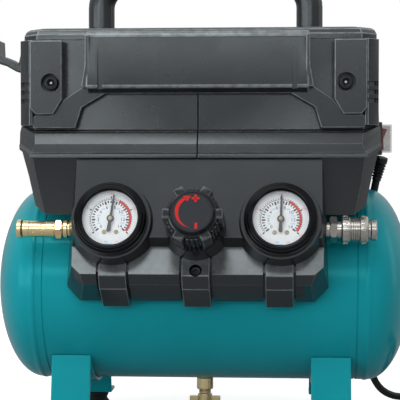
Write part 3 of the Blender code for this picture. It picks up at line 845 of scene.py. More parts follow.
@dataclass(frozen=True)
class Paint(Finish):
    """Glossy stoved enamel on steel, with a slight orange-peel skin."""

    colour: Colour
    deep: Colour
    roughness: float = 0.16
    specular: float = 0.4

    def paint(self, tree: Tree, shader: bpy.types.Node) -> None:
        """Lay out two close shades, the peel, the clear gloss and edges in the lighter shade as a painted
        highlight.

        Args:
            tree: The material's node tree.
            shader: Its Principled shader.
        """
        grain = tree.group(Group.GRAIN, Scale=260.0, Cloud_Scale=9.0)
        speck = tree.group(Group.GRAIN, Scale=2400.0, Cloud_Scale=700.0)
        base = tree.mix(grain.outputs["Cloud"], self.deep, self.colour)
        fleck = tree.math("MULTIPLY", speck.outputs["Cloud"], 0.12)
        base = tree.mix(fleck, base, self.deep)
        # The tank's bevels and weld bead take the lighter shade: a painted highlight on the edges.
        edges = tree.group(Group.EDGES, Base=base, Rubbed=self.colour, Amount=0.6)
        tree.feed(shader.inputs["Base Color"], edges.outputs["Color"])
        uneven = tree.ramp(grain.outputs["Cloud"], 0.0, 1.0, self.roughness + 0.04, self.roughness - 0.04)
        tree.feed(shader.inputs["Roughness"], uneven)
        shader.inputs["Specular IOR Level"].default_value = self.specular
        shader.inputs["Specular Tint"].default_value = tuple(
            math.sqrt(channel) for channel in self.colour[:3]
        ) + (1.0,)
        self.bump(tree, shader, grain.outputs["Height"], 0.25, 0.12)


@dataclass(frozen=True)
class Metal(Finish):
    """Turned or cast metal, with tarnish and lathe lines."""

    colour: Colour
    tarnish: Colour
    roughness: float = 0.25
    lines: float = 420.0
    spread: float = 0.5
    relief: float = 0.25

    def paint(self, tree: Tree, shader: bpy.types.Node) -> None:
        """Lay out the tarnish, the lines and the edges.

        Args:
            tree: The material's node tree.
            shader: Its Principled shader.
        """
        turning = tree.group(Group.TURNING, Lines=self.lines, Tarnish_Scale=140.0)
        amount = tree.math("MULTIPLY", turning.outputs["Tarnish"], self.spread)
        base = tree.mix(amount, self.colour, self.tarnish)
        tree.feed(shader.inputs["Base Color"], base)
        uneven = tree.ramp(turning.outputs["Tarnish"], 0.0, 1.0, self.roughness - 0.06, self.roughness + 0.1)
        tree.feed(shader.inputs["Roughness"], uneven)
        shader.inputs["Metallic"].default_value = 1.0
        self.bump(tree, shader, turning.outputs["Height"], 0.04, self.relief)


@dataclass(frozen=True)
class Print(Finish):
    """Printing ink or a printed ground, slightly uneven like screen print."""

    colour: Colour
    shade: Colour
    roughness: float = 0.45

    def paint(self, tree: Tree, shader: bpy.types.Node) -> None:
        """Lay out the ink's two shades and its thin skin.

        Args:
            tree: The material's node tree.
            shader: Its Principled shader.
        """
        grain = tree.group(Group.GRAIN, Scale=3000.0, Cloud_Scale=180.0)
        base = tree.mix(grain.outputs["Cloud"], self.colour, self.shade)
        tree.feed(shader.inputs["Base Color"], base)
        shader.inputs["Roughness"].default_value = self.roughness
        self.bump(tree, shader, grain.outputs["Height"], 0.02, 0.15)


@dataclass(frozen=True)
class Clear(Finish):
    """A clear or smoked window, seen through by its alpha."""

    colour: Colour
    alpha: float
    cloudy: float = 0.0
    roughness: float = 0.08

    def paint(self, tree: Tree, shader: bpy.types.Node) -> None:
        """Lay out the tint, its thickness and a few faint streaks.

        Args:
            tree: The material's node tree.
            shader: Its Principled shader.
        """
        grain = tree.group(Group.GRAIN, Scale=500.0, Cloud_Scale=60.0)
        shade = tuple(channel * 0.8 for channel in self.colour[:3]) + (1.0,)
        tree.feed(shader.inputs["Base Color"], tree.mix(grain.outputs["Cloud"], shade, self.colour))
        alpha = tree.ramp(grain.outputs["Cloud"], 0.0, 1.0, self.alpha + self.cloudy, self.alpha)
        tree.feed(shader.inputs["Alpha"], alpha)
        shader.inputs["Roughness"].default_value = self.roughness
        self.bump(tree, shader, grain.outputs["Height"], 0.02, 0.1)


# The second colour of each moulded finish is its lighter edge colour: wear and painted highlight.
HOUSING = Moulded("charcoal_housing", linear(34, 35, 36), linear(146, 153, 156), 0.27, specular=0.75)
PANEL = Moulded("charcoal_panel", linear(35, 36, 38), linear(124, 130, 133), 0.2, specular=0.8)
KNOB_PLASTIC = Moulded(
    "knob_black", linear(16, 16, 18), linear(96, 99, 104), 0.2, edge=0.6, depth=0.05, specular=0.5
)
KNOB_FACE = Moulded(
    "knob_cap_slate", linear(30, 31, 37), linear(118, 120, 128), 0.42, edge=0.8, specular=0.35
)
GLOSS_BLACK = Moulded(
    "bezel_black", linear(9, 9, 10), linear(14, 15, 16), 0.1, edge=0.5, depth=0.02, specular=0.16
)
SOFT_GRIP = Moulded("grip_rubber_black", linear(26, 26, 27), linear(60, 61, 62), 0.62, depth=0.2, relief=0.5)
FOOT_RUBBER = Moulded(
    "foot_rubber_black", linear(24, 24, 24), linear(52, 52, 52), 0.7, depth=0.25, relief=0.5
)
CORD_RUBBER = Moulded(
    "cord_rubber_black", linear(26, 26, 28), linear(64, 64, 66), 0.48, depth=0.1, relief=0.35
)
PLUG_RUBBER = Moulded(
    "plug_rubber_black", linear(28, 28, 30), linear(70, 70, 72), 0.45, depth=0.1, relief=0.35
)
SWITCH_BLACK = Moulded("switch_black", linear(30, 30, 31), linear(96, 97, 98), 0.35, depth=0.05)
ROCKER_RED = Moulded("rocker_red", linear(186, 30, 26), linear(230, 120, 110), 0.3, depth=0.03, coat=0.3)
FOAM = Moulded(
    "filter_foam_grey", linear(40, 40, 42), linear(60, 60, 62), 0.9, grain=420.0, depth=0.8, relief=0.9
)
TEAL = Paint("tank_teal", linear(26, 156, 167), linear(22, 144, 155))
BRASS = Metal("brass_turned", linear(246, 226, 176), linear(222, 190, 132), 0.18, spread=0.16)
DULL_BRASS = Metal("brass_dull", linear(178, 168, 142), linear(122, 104, 74), 0.5)
NICKEL = Metal("nickel_plate", linear(196, 194, 188), linear(128, 124, 116), 0.22, spread=0.4)
STEEL = Metal("screw_steel_zinc", linear(176, 178, 182), linear(96, 98, 102), 0.3, spread=0.5)
CRADLE = Metal("cradle_steel_plain", linear(140, 142, 146), linear(84, 86, 90), 0.42, lines=90.0, spread=0.7)
ALLOY = Metal("cast_alloy_grey", linear(172, 174, 176), linear(112, 114, 116), 0.46, lines=60.0, spread=0.8)
COPPER = Metal("copper_tube", linear(214, 130, 92), linear(132, 74, 50), 0.3, spread=0.6)
DIAL_WHITE = Print("dial_white", linear(244, 248, 250), linear(232, 240, 245), 0.4)
INK_BLACK = Print("ink_black", linear(24, 26, 30), linear(40, 42, 46))
INK_RED = Print("ink_red", linear(214, 42, 12), linear(194, 34, 10), 0.7)
INK_PINK = Print("ink_faded_red", linear(236, 120, 128), linear(240, 150, 156))
INK_BLUE = Print("ink_blue", linear(96, 176, 222), linear(124, 192, 230))
MARK_RED = Print("mark_red", linear(206, 6, 8), linear(186, 4, 6), 0.7)
LENS = Clear("lens_clear", linear(250, 252, 255), 0.05, 0.0, 0.03)
SMOKED = Clear("cover_smoked", linear(150, 142, 134), 0.3, 0.06, 0.16)


# Room


@dataclass
class Studio:
    """The camera, the soft lights and the pale floor."""

    distance: float = 1150.0
    elevation: float = 1.5
    azimuth: float = 3.8
    lens: float = 121.76
    aside: float = -4.3
    above: float = 70.2
    floor_size: float = 9000.0
    dim: float = 0.16
    bright: float = 0.85
    floor_glow: float = 0.5

    def build(self) -> None:
        """Set up everything in the room."""
        bpy.context.scene.view_settings.view_transform = "Standard"
        self.camera()
        self.world()
        self.floor()
        self.lamp("key_softbox", (-420, -900, 1480), (0, -60, 220), (1200, 560), 7.5)
        self.lamp("front_softbox", (-100, -1700, 640), (0, -60, 260), (1500, 240), 3.4)
        self.lamp("left_softbox", (-1110, -1180, 330), (-60, -60, 150), (1500, 520), 6.0)
        self.lamp("right_kicker", (1350, 350, 500), (80, 0, 160), (300, 900), 0.5)

    def camera(self) -> None:
        """Put the camera in front, a little to the right and just above the tank."""
        turn, rise = math.radians(self.azimuth), math.radians(self.elevation)
        back = Vector((math.sin(turn) * math.cos(rise), -math.cos(turn) * math.cos(rise), math.sin(rise)))
        right = Vector((0, 0, 1)).cross(back).normalized()
        up = back.cross(right)
        aim = Vector((0, 0, TANK_Z)) + right * self.aside + up * self.above
        rotation = Matrix((right, up, back)).transposed().to_4x4()
        data = bpy.data.cameras.new("camera")
        data.lens = self.lens
        data.sensor_width = 36.0
        data.clip_end = 100.0
        camera = bpy.data.objects.new("camera", data)
        camera.matrix_world = Matrix.Translation(TO_WORLD @ (aim + back * self.distance)) @ rotation
        bpy.context.collection.objects.link(camera)
        bpy.context.scene.camera = camera

    def world(self) -> None:
        """A white room that is brighter overhead than low down."""
        world = bpy.data.worlds.new("soft_room")
        bpy.context.scene.world = world
        world.use_nodes = True
        tree = Tree(world.node_tree)
        direction = tree.node("ShaderNodeTexCoord").outputs["Generated"]
        height = tree.node("ShaderNodeSeparateXYZ", None, Vector=direction).outputs["Z"]
        lit = tree.ramp(height, -0.2, 0.7, self.dim, self.bright)
        seen = tree.node("ShaderNodeLightPath").outputs["Is Camera Ray"]
        strength = tree.math("MAXIMUM", lit, seen)
        background = world.node_tree.nodes["Background"]
        background.inputs["Color"].default_value = WHITE
        tree.feed(background.inputs["Strength"], strength)

    def floor(self) -> None:
        """A wide pale floor."""
        half = self.floor_size / 2 * MM
        mesh = bpy.data.meshes.new("floor")
        sheet = bmesh.new()
        bmesh.ops.create_grid(sheet, x_segments=1, y_segments=1, size=half)
        sheet.to_mesh(mesh)
        sheet.free()
        floor = bpy.data.objects.new("floor", mesh)
        bpy.context.collection.objects.link(floor)
        material = bpy.data.materials.new("floor_pale")
        material.use_nodes = True
        tree = Tree(material.node_tree)
        shader = material.node_tree.nodes["Principled BSDF"]
        noise = tree.node("ShaderNodeTexNoise", None, Vector=tree.place(), Scale=1.2, Detail=2.0)
        pale = tree.mix(noise.outputs[0], PALE_FLOOR, PALER_FLOOR)
        seen = tree.node("ShaderNodeLightPath").outputs["Is Camera Ray"]
        tree.feed(shader.inputs["Base Color"], tree.mix(seen, FLOOR_BOUNCE, pale))
        shader.inputs["Emission Color"].default_value = WHITE
        tree.feed(shader.inputs["Emission Strength"], tree.math("MULTIPLY", seen, self.floor_glow))
        shader.inputs["Roughness"].default_value = 0.85
        shader.inputs["Specular IOR Level"].default_value = 0.15
        mesh.materials.append(material)

    def lamp(self, name: str, place: Point, aim: Point, size: Point, power: float) -> None:
        """Hang a soft rectangular lamp.

        Args:
            name: The lamp's name.
            place: Where it hangs.
            aim: The point it looks at.
            size: Its width and height.
            power: Its power in watts.
        """
        data = bpy.data.lights.new(name, "AREA")
        data.shape = "RECTANGLE"
        data.size, data.size_y = size[0] * MM, size[1] * MM
        data.energy = power
        lamp = bpy.data.objects.new(name, data)
        start = TO_WORLD @ Vector(place)
        turn = (start - TO_WORLD @ Vector(aim)).to_track_quat("Z", "Y").to_matrix().to_4x4()
        lamp.matrix_world = Matrix.Translation(start) @ turn
        bpy.context.collection.objects.link(lamp)


# Helpers for the pieces


def eased(value: float, start: float, end: float) -> float:
    """A smooth step from 0 to 1.

    Args:
        value: Where to read it.
        start: Where it leaves 0.
        end: Where it reaches 1.

    Returns:
        The step's height there.
    """
    t = min(max((value - start) / (end - start), 0.0), 1.0)
    return t * t * (3 - 2 * t)


def from_node(name: str) -> Shape:
    """A merged copy of a CAD node's solid, in millimetres.

    Args:
        name: The node.

    Returns:
        The copy, with its flat faces whole again.
    """
    shape = Shape()
    shape.mesh.from_mesh(bpy.data.objects[name].data)
    bmesh.ops.transform(shape.mesh, matrix=TO_WORLD.inverted(), verts=shape.mesh.verts)
    bmesh.ops.remove_doubles(shape.mesh, verts=shape.mesh.verts, dist=0.005)
    bmesh.ops.dissolve_limit(
        shape.mesh, angle_limit=math.radians(1.5), verts=shape.mesh.verts, edges=shape.mesh.edges,
    )
    return shape


def dress(
    node: str, name: str, finish: Finish, slot: str, width: float, angle: float = 40, body: Body = Body.FRAME,
    **softening: Any,
) -> None:
    """Put a copy of a CAD node with rounded edges in the node's place.

    Args:
        node: The node.
        name: The new piece's name.
        finish: Its finish.
        slot: The name of the record's material slot for it, which is only logged.
        width: The width of the rounding.
        angle: Edges that turn by more than this many degrees are rounded.
        body: The body that it moves with.
        softening: What else the rounding is given.
    """
    from_node(node).softened(width, angle, **softening).piece(name, finish, slot, body, (node,))


# Cord


@dataclass
class MainsCord:
    """The mains cord: boot, one run down to the floor, a coil beside the machine and the plug."""

    diameter: float = 6.6
    boot_top: Point = (151.2, 36.0, 226.6)
    boot_end: Point = (146.9, 40.6, 207.0)
    coil_centre: Point = (226.0, 78.0)
    join_radius: float = 50.6
    leave_radius: float = 50.8
    turn_radii: Point = (43.6, 37.0, 30.4)
    layer_heights: Point = (3.5, 10.1)
    turns: float = 5.25
    points_a_turn: int = 48
    plug: Point = (269.6, 28.0, 14.0)
    pin_x: float = 9.5

    def down(self) -> list[Point]:
        """The route from the boot, behind the tank's end and out to the coil.

        Returns:
            The points of its middle line.
        """
        return [
            (146.8, 40.7, 206.7), (145.5, 43.3, 199.5), (143.6, 50.5, 188.0), (141.6, 61, 177),
            (140.4, 71.5, 163), (139.8, 80, 146), (139.6, 85, 126), (139.6, 87.5, 102), (140, 89.5, 78),
            (141.5, 93, 54), (146, 99, 32), (154.5, 107.5, 15), (168, 117, 5.6), (186, 125, 3.5),
            (206, 128.4, 3.5), (226, 128.6, 3.5),
        ]

    def coiled(self) -> list[Point]:
        """The turns of the coil: in along the floor, up, and out again on top.

        Returns:
            The points of its middle line.
        """
        outer, middle, inner = self.turn_radii
        low, high = self.layer_heights
        points = []
        for index in range(1, int(self.turns * self.points_a_turn)):
            turn = index / self.points_a_turn
            radius = (
                self.join_radius
                + (outer - self.join_radius) * eased(turn, 0.0, 0.5)
                + (middle - outer) * (eased(turn, 0.95, 1.3) - eased(turn, 4.45, 4.8))
                + (inner - middle) * (eased(turn, 1.95, 2.3) - eased(turn, 3.6, 3.95))
                + (self.leave_radius - outer) * eased(turn, 4.9, self.turns)
            )
            height = low + (high - low) * eased(turn, 2.75, 3.2)
            angle = RIGHT_ANGLE - math.tau * turn
            x, y = self.coil_centre
            points.append((x + radius * math.cos(angle), y + radius * math.sin(angle), height))
        return points

    def tail(self) -> list[Point]:
        """The short end from the coil into the plug."""
        return [(276.8, 78, 10.1), (276.5, 68, 10.3), (274.6, 58, 11.6), (272, 50, 13), (270.3, 43.2, 13.8)]

    def build(self) -> None:
        """Make the boot, the plug and the cord between them."""
        pieces = [*self.boot(), *self.plug_pieces()]
        down = self.down()
        start, tail = spline_through(down, 5)[:-1], spline_through(self.tail(), 5)
        points = [*start, *(Vector(point) for point in (down[-1], *self.coiled())), *tail]
        data = bpy.data.curves.new("mains_cord", "CURVE")
        data.dimensions = "3D"
        spline = data.splines.new("POLY")
        spline.points.add(len(points) - 1)
        spline.use_smooth = True
        for point, place in zip(spline.points, points):
            point.co = (*(TO_WORLD @ place), 1.0)
        data.bevel_depth = self.diameter / 2 * MM
        data.bevel_resolution = 4
        data.use_fill_caps = True
        data.materials.append(CORD_RUBBER.material())
        cord = bpy.data.objects.new("mains_cord", data)
        bpy.context.collection.objects.link(cord)
        attach(cord, "cord_rubber", Body.FRAME, ("power_cord", "cord_coil", "cord_tail"))

    def boot(self) -> list[bpy.types.Object]:
        """The tapered and ringed boot where the cord leaves the housing.

        Returns:
            The boot, alone in a list.
        """
        top, end = Vector(self.boot_top), Vector(self.boot_end)
        length = (end - top).length
        rings = [(0, length), (5.4, length), (5.6, length - 0.8), (5.6, length - 4.2), (5.3, length - 5)]
        for index in range(5):
            height = length - 6 - 2.6 * index
            radius = 5.2 - 0.2 * index
            rings += [
                (radius - 0.8, height), (radius, height - 0.6), (radius, height - 1.6),
                (radius - 0.8, height - 2),
            ]
        rings += [(4.1, 0.3), (3.9, 0), (0, 0)]
        turn = (top - end).to_track_quat("Z", "Y").to_matrix().to_4x4()
        boot = Shape.turned(rings, 32)
        bmesh.ops.transform(boot.mesh, matrix=Matrix.Translation(end) @ turn, verts=boot.mesh.verts)
        return [
            boot.piece("cord_boot", CORD_RUBBER, "cord_rubber", replaces=("cord_strain_relief",), smooth=50)
        ]

    def plug_pieces(self) -> list[bpy.types.Object]:
        """A two-pin plug with a ribbed grip, lying beside the coil.

        Returns:
            The plug and its pins.
        """
        profile = [(0, 34), (11.6, 34), (12.8, 33), (13.2, 31), (13.2, 25)]
        for index in range(4):
            height = 23.6 - 3.6 * index
            profile += [(12.3, height), (12.3, height - 1.2), (13.0, height - 1.9), (13.0, height - 3.0)]
        profile += [(12.6, 6), (11.6, 3), (9.8, 0.5), (9.0, -2)]
        body = Shape.turned(profile + [(8.6, -4), (0, -4)], 40).stretched((1.3, 0.98, 1))
        neck = [(0, 0), (8.2, 0), (7.4, -3)]
        for index in range(4):
            height = -3.6 - 2.4 * index
            radius = 7.0 - 0.7 * index
            neck += [
                (radius - 0.9, height), (radius - 0.9, height - 0.8), (radius, height - 1.2),
                (radius - 0.1, height - 2),
            ]
        body.add(Shape.turned(neck + [(4.0, -14), (0, -14)], 32))
        pins = Shape()
        tip = [(2.3 * math.cos(a), 51 + 2 * math.sin(a)) for a in (0.5, 1.0)]
        for side in (-self.pin_x, self.pin_x):
            body.add(Shape.turned([(0, 33), (2.55, 33), (2.55, 43), (0, 43)], 16).moved((side, 0, 0)))
            pins.add(Shape.turned([(0, 42), (2.3, 42), (2.3, 51), *tip, (0, 53)], 16).moved((side, 0, 0)))
        body.moved(self.plug, FORWARD)
        return [
            body.piece("mains_plug", PLUG_RUBBER, "plug_rubber", replaces=("plug_body",), smooth=45),
            pins.moved(self.plug, FORWARD).piece("plug_pins", NICKEL, "nickel"),
        ]


# Tank


@dataclass
class Tank:
    """The steel air tank, its two straps, the rubber feet and the drain cock."""

    head_depth: float = 36.5
    bead: float = 0.7
    bead_width: float = 4.0
    foot_x: float = 105.0
    foot_y: float = 77.0
    foot_height: float = 13.7

    def build(self) -> None:
        """Make the tank and what it stands on."""
        self.vessel()
        self.straps()
        self.feet()
        self.drain()

    def vessel(self) -> None:
        """A rolled shell and two pressed heads, joined by raised weld beads."""
        seam = TANK_SEAM_X
        head = arc(1.0, 0, 90, 22)
        side = [(TANK_RADIUS * c, seam + self.head_depth * s) for c, s in head]
        half = self.bead_width / 2
        bead = [
            (TANK_RADIUS + self.bead * math.cos(a), seam - half + half * math.sin(a))
            for a in (-1.4, -0.8, 0, 0.8, 1.4)
        ]
        groove = [
            (TANK_RADIUS, seam - 11.4), (TANK_RADIUS - 0.7, seam - 10.8), (TANK_RADIUS - 0.7, seam - 10.2),
            (TANK_RADIUS, seam - 9.6),
        ]
        right = [*groove, (TANK_RADIUS, seam - 2.2 * half), *bead, *side[1:]]
        left = [(radius, -height) for radius, height in reversed(right)]
        tank = Shape.turned([(max(r, 0.0), h) for r, h in left + right], 128)
        tank.moved((0, 0, TANK_Z), ALONG_X)
        seam_line = Shape.box(
            (-seam + 13, TANK_RADIUS - 1.2, -1.6), (seam - 13, TANK_RADIUS + 0.6, 1.6)
        ).softened(0.5, segments=2)
        tank.add(seam_line.moved((0, 0, TANK_Z), (math.radians(-50), 0, 0)))
        for x in (-60, 60):
            boss = Shape.turned([(0, -2), (9, -2), (9, 2.4), (8, 3.2), (5.2, 3.2), (5.2, 1.5), (0, 1.5)], 32)
            tank.add(boss.moved((0, 0, TANK_RADIUS)).moved((x, 0, TANK_Z), (math.radians(-100), 0, 0)))
        tank.piece(
            "air_tank", TEAL, "tank_paint", replaces=("tank_shell", "tank_head_left", "tank_head_right"),
            smooth=40
        )

    def straps(self) -> None:
        """The bent straps, with rounded edges and a bolt over each foot."""
        for side in ("left", "right"):
            node = f"foot_bracket_{side}"
            dress(node, f"foot_strap_{side}", TEAL, "tank_paint", 0.9)

    def feet(self) -> None:
        """Ringed rubber feet, each held by a bolt."""
        top = self.foot_height
        outline = [
            (0, top), (11.4, top), (12, top - 0.6), (11.6, top - 3), (10.6, top - 4.4), (10.6, top - 6.2),
            (11.4, top - 7),
            (12.6, 5), (13, 4), (13, 1), (12.4, 0.2), (11.8, 0), (4.4, 0), (4.2, 3), (0, 3),
        ]
        for side, sign in (("left", -1), ("right", 1)):
            for end, way in (("front", -1), ("rear", 1)):
                place = (sign * self.foot_x, way * self.foot_y, 0)
                foot = Shape.turned(outline, 40).moved(place)
                foot.piece(
                    f"foot_{end}_{side}", FOOT_RUBBER, "foot_rubber", replaces=(f"rubber_foot_{end}_{side}",),
                    smooth=40
                )
                head = top + 3.3
                bolt = Shape.cylinder(5.2, head, head + 3.2, 6).softened(0.4)
                bolt.add(
                    Shape.turned([(0, head + 0.6), (7, head + 0.6), (7, head - 0.2), (0, head - 0.2)], 32)
                )
                bolt.moved(place).piece(f"foot_bolt_{end}_{side}", STEEL, "screw_steel")

    def drain(self) -> None:
        """The brass drain cock under the tank, with its wing tap."""
        dress("drain_valve_body", "drain_body", BRASS, "brass", 0.4, 30)
        dress("drain_valve_tap", "drain_tap", BRASS, "brass", 0.6, 30, Body.DRAIN_TAP)


# Housing


@dataclass(frozen=True)
class Level:
    """One height of the housing's outside."""

    height: float
    front: float
    corner_x: float
    outer_x: float
    outer_y: float
    rise: float
    back: float


@dataclass
class Housing:
    """The front halves, the back, the lid with its arched band, the handle and the hose hook."""

    wall: float = 3.0
    seam: float = 1.1
    split_y: float = -5.0
    corner: float = 12.0
    levels: tuple[Level, ...] = (
        Level(318, -88, 128, 139.5, -76, 0, 90),
        Level(248.0, -88, 129, 141.6, -76, 4, 92),
        Level(246.2, -90.2, 128.6, 142.0, -77, 5, 92),
        Level(245.3, -89.6, 128.2, 141.4, -76.6, 5.5, 91.6),
        Level(244.5, -92.3, 128.2, 142.0, -77, 6, 92),
        Level(236.4, -97, 127.3, 142.6, -79, 9.4, 92.5),
        Level(229.8, -97.9, 129.6, 142.8, -79.6, 7.4, 92.6),
        Level(228.4, -99.6, 131, 143.2, -80, 7, 93),
        Level(225.6, -99.6, 131, 143, -80, 6.6, 92.5),
        Level(225, -94.5, 129.5, 141.2, -79, 6.5, 92),
        Level(208, -88, 127.5, 136, -77, 3, 89),
        Level(181, -84.5, 122, 131.5, -73, 6.5, 84.5),
    )
    pad_inner: float = 106.0
    pad_outer: float = 131.0
    pad_front: float = -98.0
    screw_x: float = 115.0
    screw_z: float = 284.0
    band_front: float = -102.0
    leg_front: float = -94.0
    lid_top: float = 328.0
    handle_x: float = 88.0
    handle_z: float = 376.0
    handle_bend: float = 24.0
    vents: tuple[float, ...] = (-80.0, -40.0, 0.0, 40.0, 80.0)
    channel_x: float = 75.3

    def build(self) -> None:
        """Make every piece of the housing."""
        self.fronts()
        self.back()
        self.lid()
        self.handle()
        dress("hose_hook", "hose_hanger", HOUSING, "housing_plastic", 1.1, 20, mark=False)

    def saddle(self) -> Shape:
        """The round cutter that lets a wall stand on the tank."""
        return Shape.cylinder(TANK_RADIUS + 1.2, -200, 200, 96).moved((0, 0, TANK_Z), ALONG_X)

    def fronts(self) -> None:
        """The two halves of the front, each with its screwed corner pad."""
        for side, sign in (("left", -1), ("right", 1)):
            rings = [
                [
                    (sign * self.seam / 2, level.front, level.height),
                    (sign * level.corner_x, level.front, level.height),
                    (sign * level.outer_x, level.outer_y, level.height + level.rise),
                    (sign * level.outer_x, self.split_y, level.height + level.rise),
                ]
                for level in self.levels
            ]
            shell = Shape.skin(rings, closed=False, capped=False).facing((0, -1, 0)).walled(self.wall)
            shell.softened(0.75, 16).cut(self.saddle())
            shell.add(self.column(sign), self.pad(sign))
            node = f"front_shell_{side}"
            shell.piece(f"front_half_{side}", HOUSING, "housing_plastic", replaces=(node,))
            self.screw(side, sign)

    def pad(self, sign: float) -> Shape:
        """A raised corner pad with a deep round seat for its screw.

        Args:
            sign: -1 on the left and 1 on the right.

        Returns:
            The pad.
        """
        outline = [
            (sign * 113, 259.5), (sign * 127, 259.5), (sign * self.pad_outer, 264.5),
            (sign * self.pad_outer, 317),
            (sign * self.pad_inner, 317), (sign * self.pad_inner, 271),
        ]
        pad = Shape.prism(outline, Axis.Y, self.pad_front, -86.0).softened(0.7)
        seat = Shape.cylinder(7.4, -7.0, 4.0, 48)
        pad.cut(seat.moved((sign * self.screw_x, self.pad_front, self.screw_z), FORWARD))
        return pad

    def column(self, sign: float) -> Shape:
        """The slanting corner beside a pad, with three short vent slots.

        Args:
            sign: -1 on the left and 1 on the right.

        Returns:
            The corner.
        """
        outline = [
            (sign * x, y)
            for x, y in ((129.6, -95.6), (132.0, -95.9), (140.6, -86.5), (140.2, -78), (129, -86))
        ]
        column = Shape.prism(outline, Axis.Z, 251, 317.6).softened(0.35)
        for height in (270.0, 276.5, 283.0):
            slot = Shape.box((-7.0, -2.2, -1.7), (6.0, 2.2, 1.7)).softened(0.5, mark=False)
            column.cut(slot.moved((sign * 136.4, -91.8, height), (0, 0, sign * math.radians(48))))
        return column

    def screw(self, side: str, sign: float) -> None:
        """A corner screw: a broad collar round a deep dark drive.

        Args:
            side: left or right.
            sign: -1 on the left and 1 on the right.
        """
        profile = [
            (0, -5.4), (2.5, -5.4), (2.6, -2.6), (3.4, -2.0), (5.1, -2.3), (5.6, -3.0), (5.6, -6.6), (0, -6.6)
        ]
        place = (sign * self.screw_x, self.pad_front, self.screw_z)
        screw = Shape.turned(profile, 40).moved(place, FORWARD)
        screw.piece(
            f"corner_screw_{side}", KNOB_FACE, "screw_steel", replaces=(f"shell_screw_{side}",), smooth=40
        )
        ball = Shape.turned([(0, -3.6), (1.2, -3.8), (1.9, -4.6), (2.0, -5.3), (0, -5.3)], 24)
        ball.moved(place, FORWARD).piece(f"corner_drive_{side}", STEEL, "screw_steel", smooth=60)

    def back(self) -> None:
        """The back of the housing, with cooling slots and the opening for the switch."""
        rings = []
        for level in self.levels:
            x, back, cut = level.outer_x, level.back, self.corner
            ring = [
                (-x, self.split_y + 0.4), (-x, back - cut), (-x + cut, back), (x - cut, back),
                (x, back - cut),
                (x, self.split_y + 0.4),
            ]
            rings.append([(*place, level.height + level.rise) for place in ring])
        shell = Shape.skin(rings, closed=False, capped=False).facing((0, 1, 0)).walled(self.wall)
        shell.softened(0.75, 16).cut(self.saddle())
        for x in self.vents:
            shell.cut(Shape.box((x - 12, 80, 262), (x + 12, 100, 270)).softened(1.2, mark=False))
        shell.cut(Shape.box((130, 18.5, 230.5), (150, 41.5, 254.5)))
        for x in self.vents:
            for height in (263.5, 267.0):
                shell.add(Shape.box((x - 12.5, 87.6, height), (x + 12.5, 91.0, height + 1.4)))
        shell.piece("back_shell", HOUSING, "housing_plastic", replaces=("rear_shell",))

    def lid(self) -> None:
        """The lid with a sunk tray, and the arched band over the front."""
        rings = []
        for height, half, front, back in (
            (318.3, 139.5, -88, 90), (322.5, 139.5, -88, 90), (326.0, 137.8, -86.3, 88.3),
            (327.5, 135.6, -84.1, 86.1),
            (self.lid_top, 132.5, -81, 83),
        ):
            cut = self.corner
            ring = [
                (-half + cut, front), (half - cut, front), (half, front + cut), (half, back - cut),
                (half - cut, back), (-half + cut, back), (-half, back - cut), (-half, front + cut),
            ]
            rings.append([(*place, height) for place in ring])
        lid = Shape.skin(rings).softened(0.6, 20)
        tray = Shape.box(
            (-66, -34, self.lid_top - 2.2), (66, 34, self.lid_top + 4)
        ).softened(3.0, segments=4, mark=False)
        lid.cut(tray)
        for index in range(6):
            y = -25 + 10 * index
            lid.add(
                Shape.box((-58, y - 1.6, self.lid_top - 2.4), (58, y + 1.6, self.lid_top - 1.2)).softened(0.5)
            )
        lid.add(self.band(), self.legs())
        lid.piece("lid_and_band", HOUSING, "housing_plastic", replaces=("top_cover",))

    def band(self) -> Shape:
        """The bar across the front, with a double groove near each end.

        Returns:
            The bar.
        """
        front = self.band_front
        profile = [
            (front - 1.2, 280.2), (front + 1.8, 321), (front + 4, 324), (-82, 324), (-82, 318.4),
            (-88.1, 318.4), (-88.1, 276), (-94, 275.4),
        ]
        band = Shape.prism(profile, Axis.X, -87.0, 87.0).softened(2.2, 25, 3)
        for sign in (-1, 1):
            middle = sign * self.channel_x
            band.cut(Shape.box((middle - 1.9, front - 2, 270), (middle + 1.9, front + 1.5, 330)))
            cheek = [
                (sign * x, z) for x, z in ((84, 321), (87.2, 321), (87.4, 297), (90.2, 280.4), (84, 280.4))
            ]
            band.add(Shape.prism(cheek, Axis.Y, front - 0.4, self.leg_front + 2).softened(0.8))
        return band

    def legs(self) -> Shape:
        """The two arms that come down from the band and out under the pads.

        Returns:
            Both arms.
        """
        legs = Shape()
        side = [
            (86, 321), (87, 298), (90, 281), (105, 271), (113, 260.8), (114, 258.9), (128.6, 258.9),
            (130.4, 255),
            (129.4, 248.9), (96, 248.9), (91, 265), (73, 275.4),
        ]
        for sign in (-1, 1):
            outline = [(sign * x, z) for x, z in side]
            legs.add(Shape.prism(outline, Axis.Y, self.leg_front, -88.1).softened(0.7))
        return legs

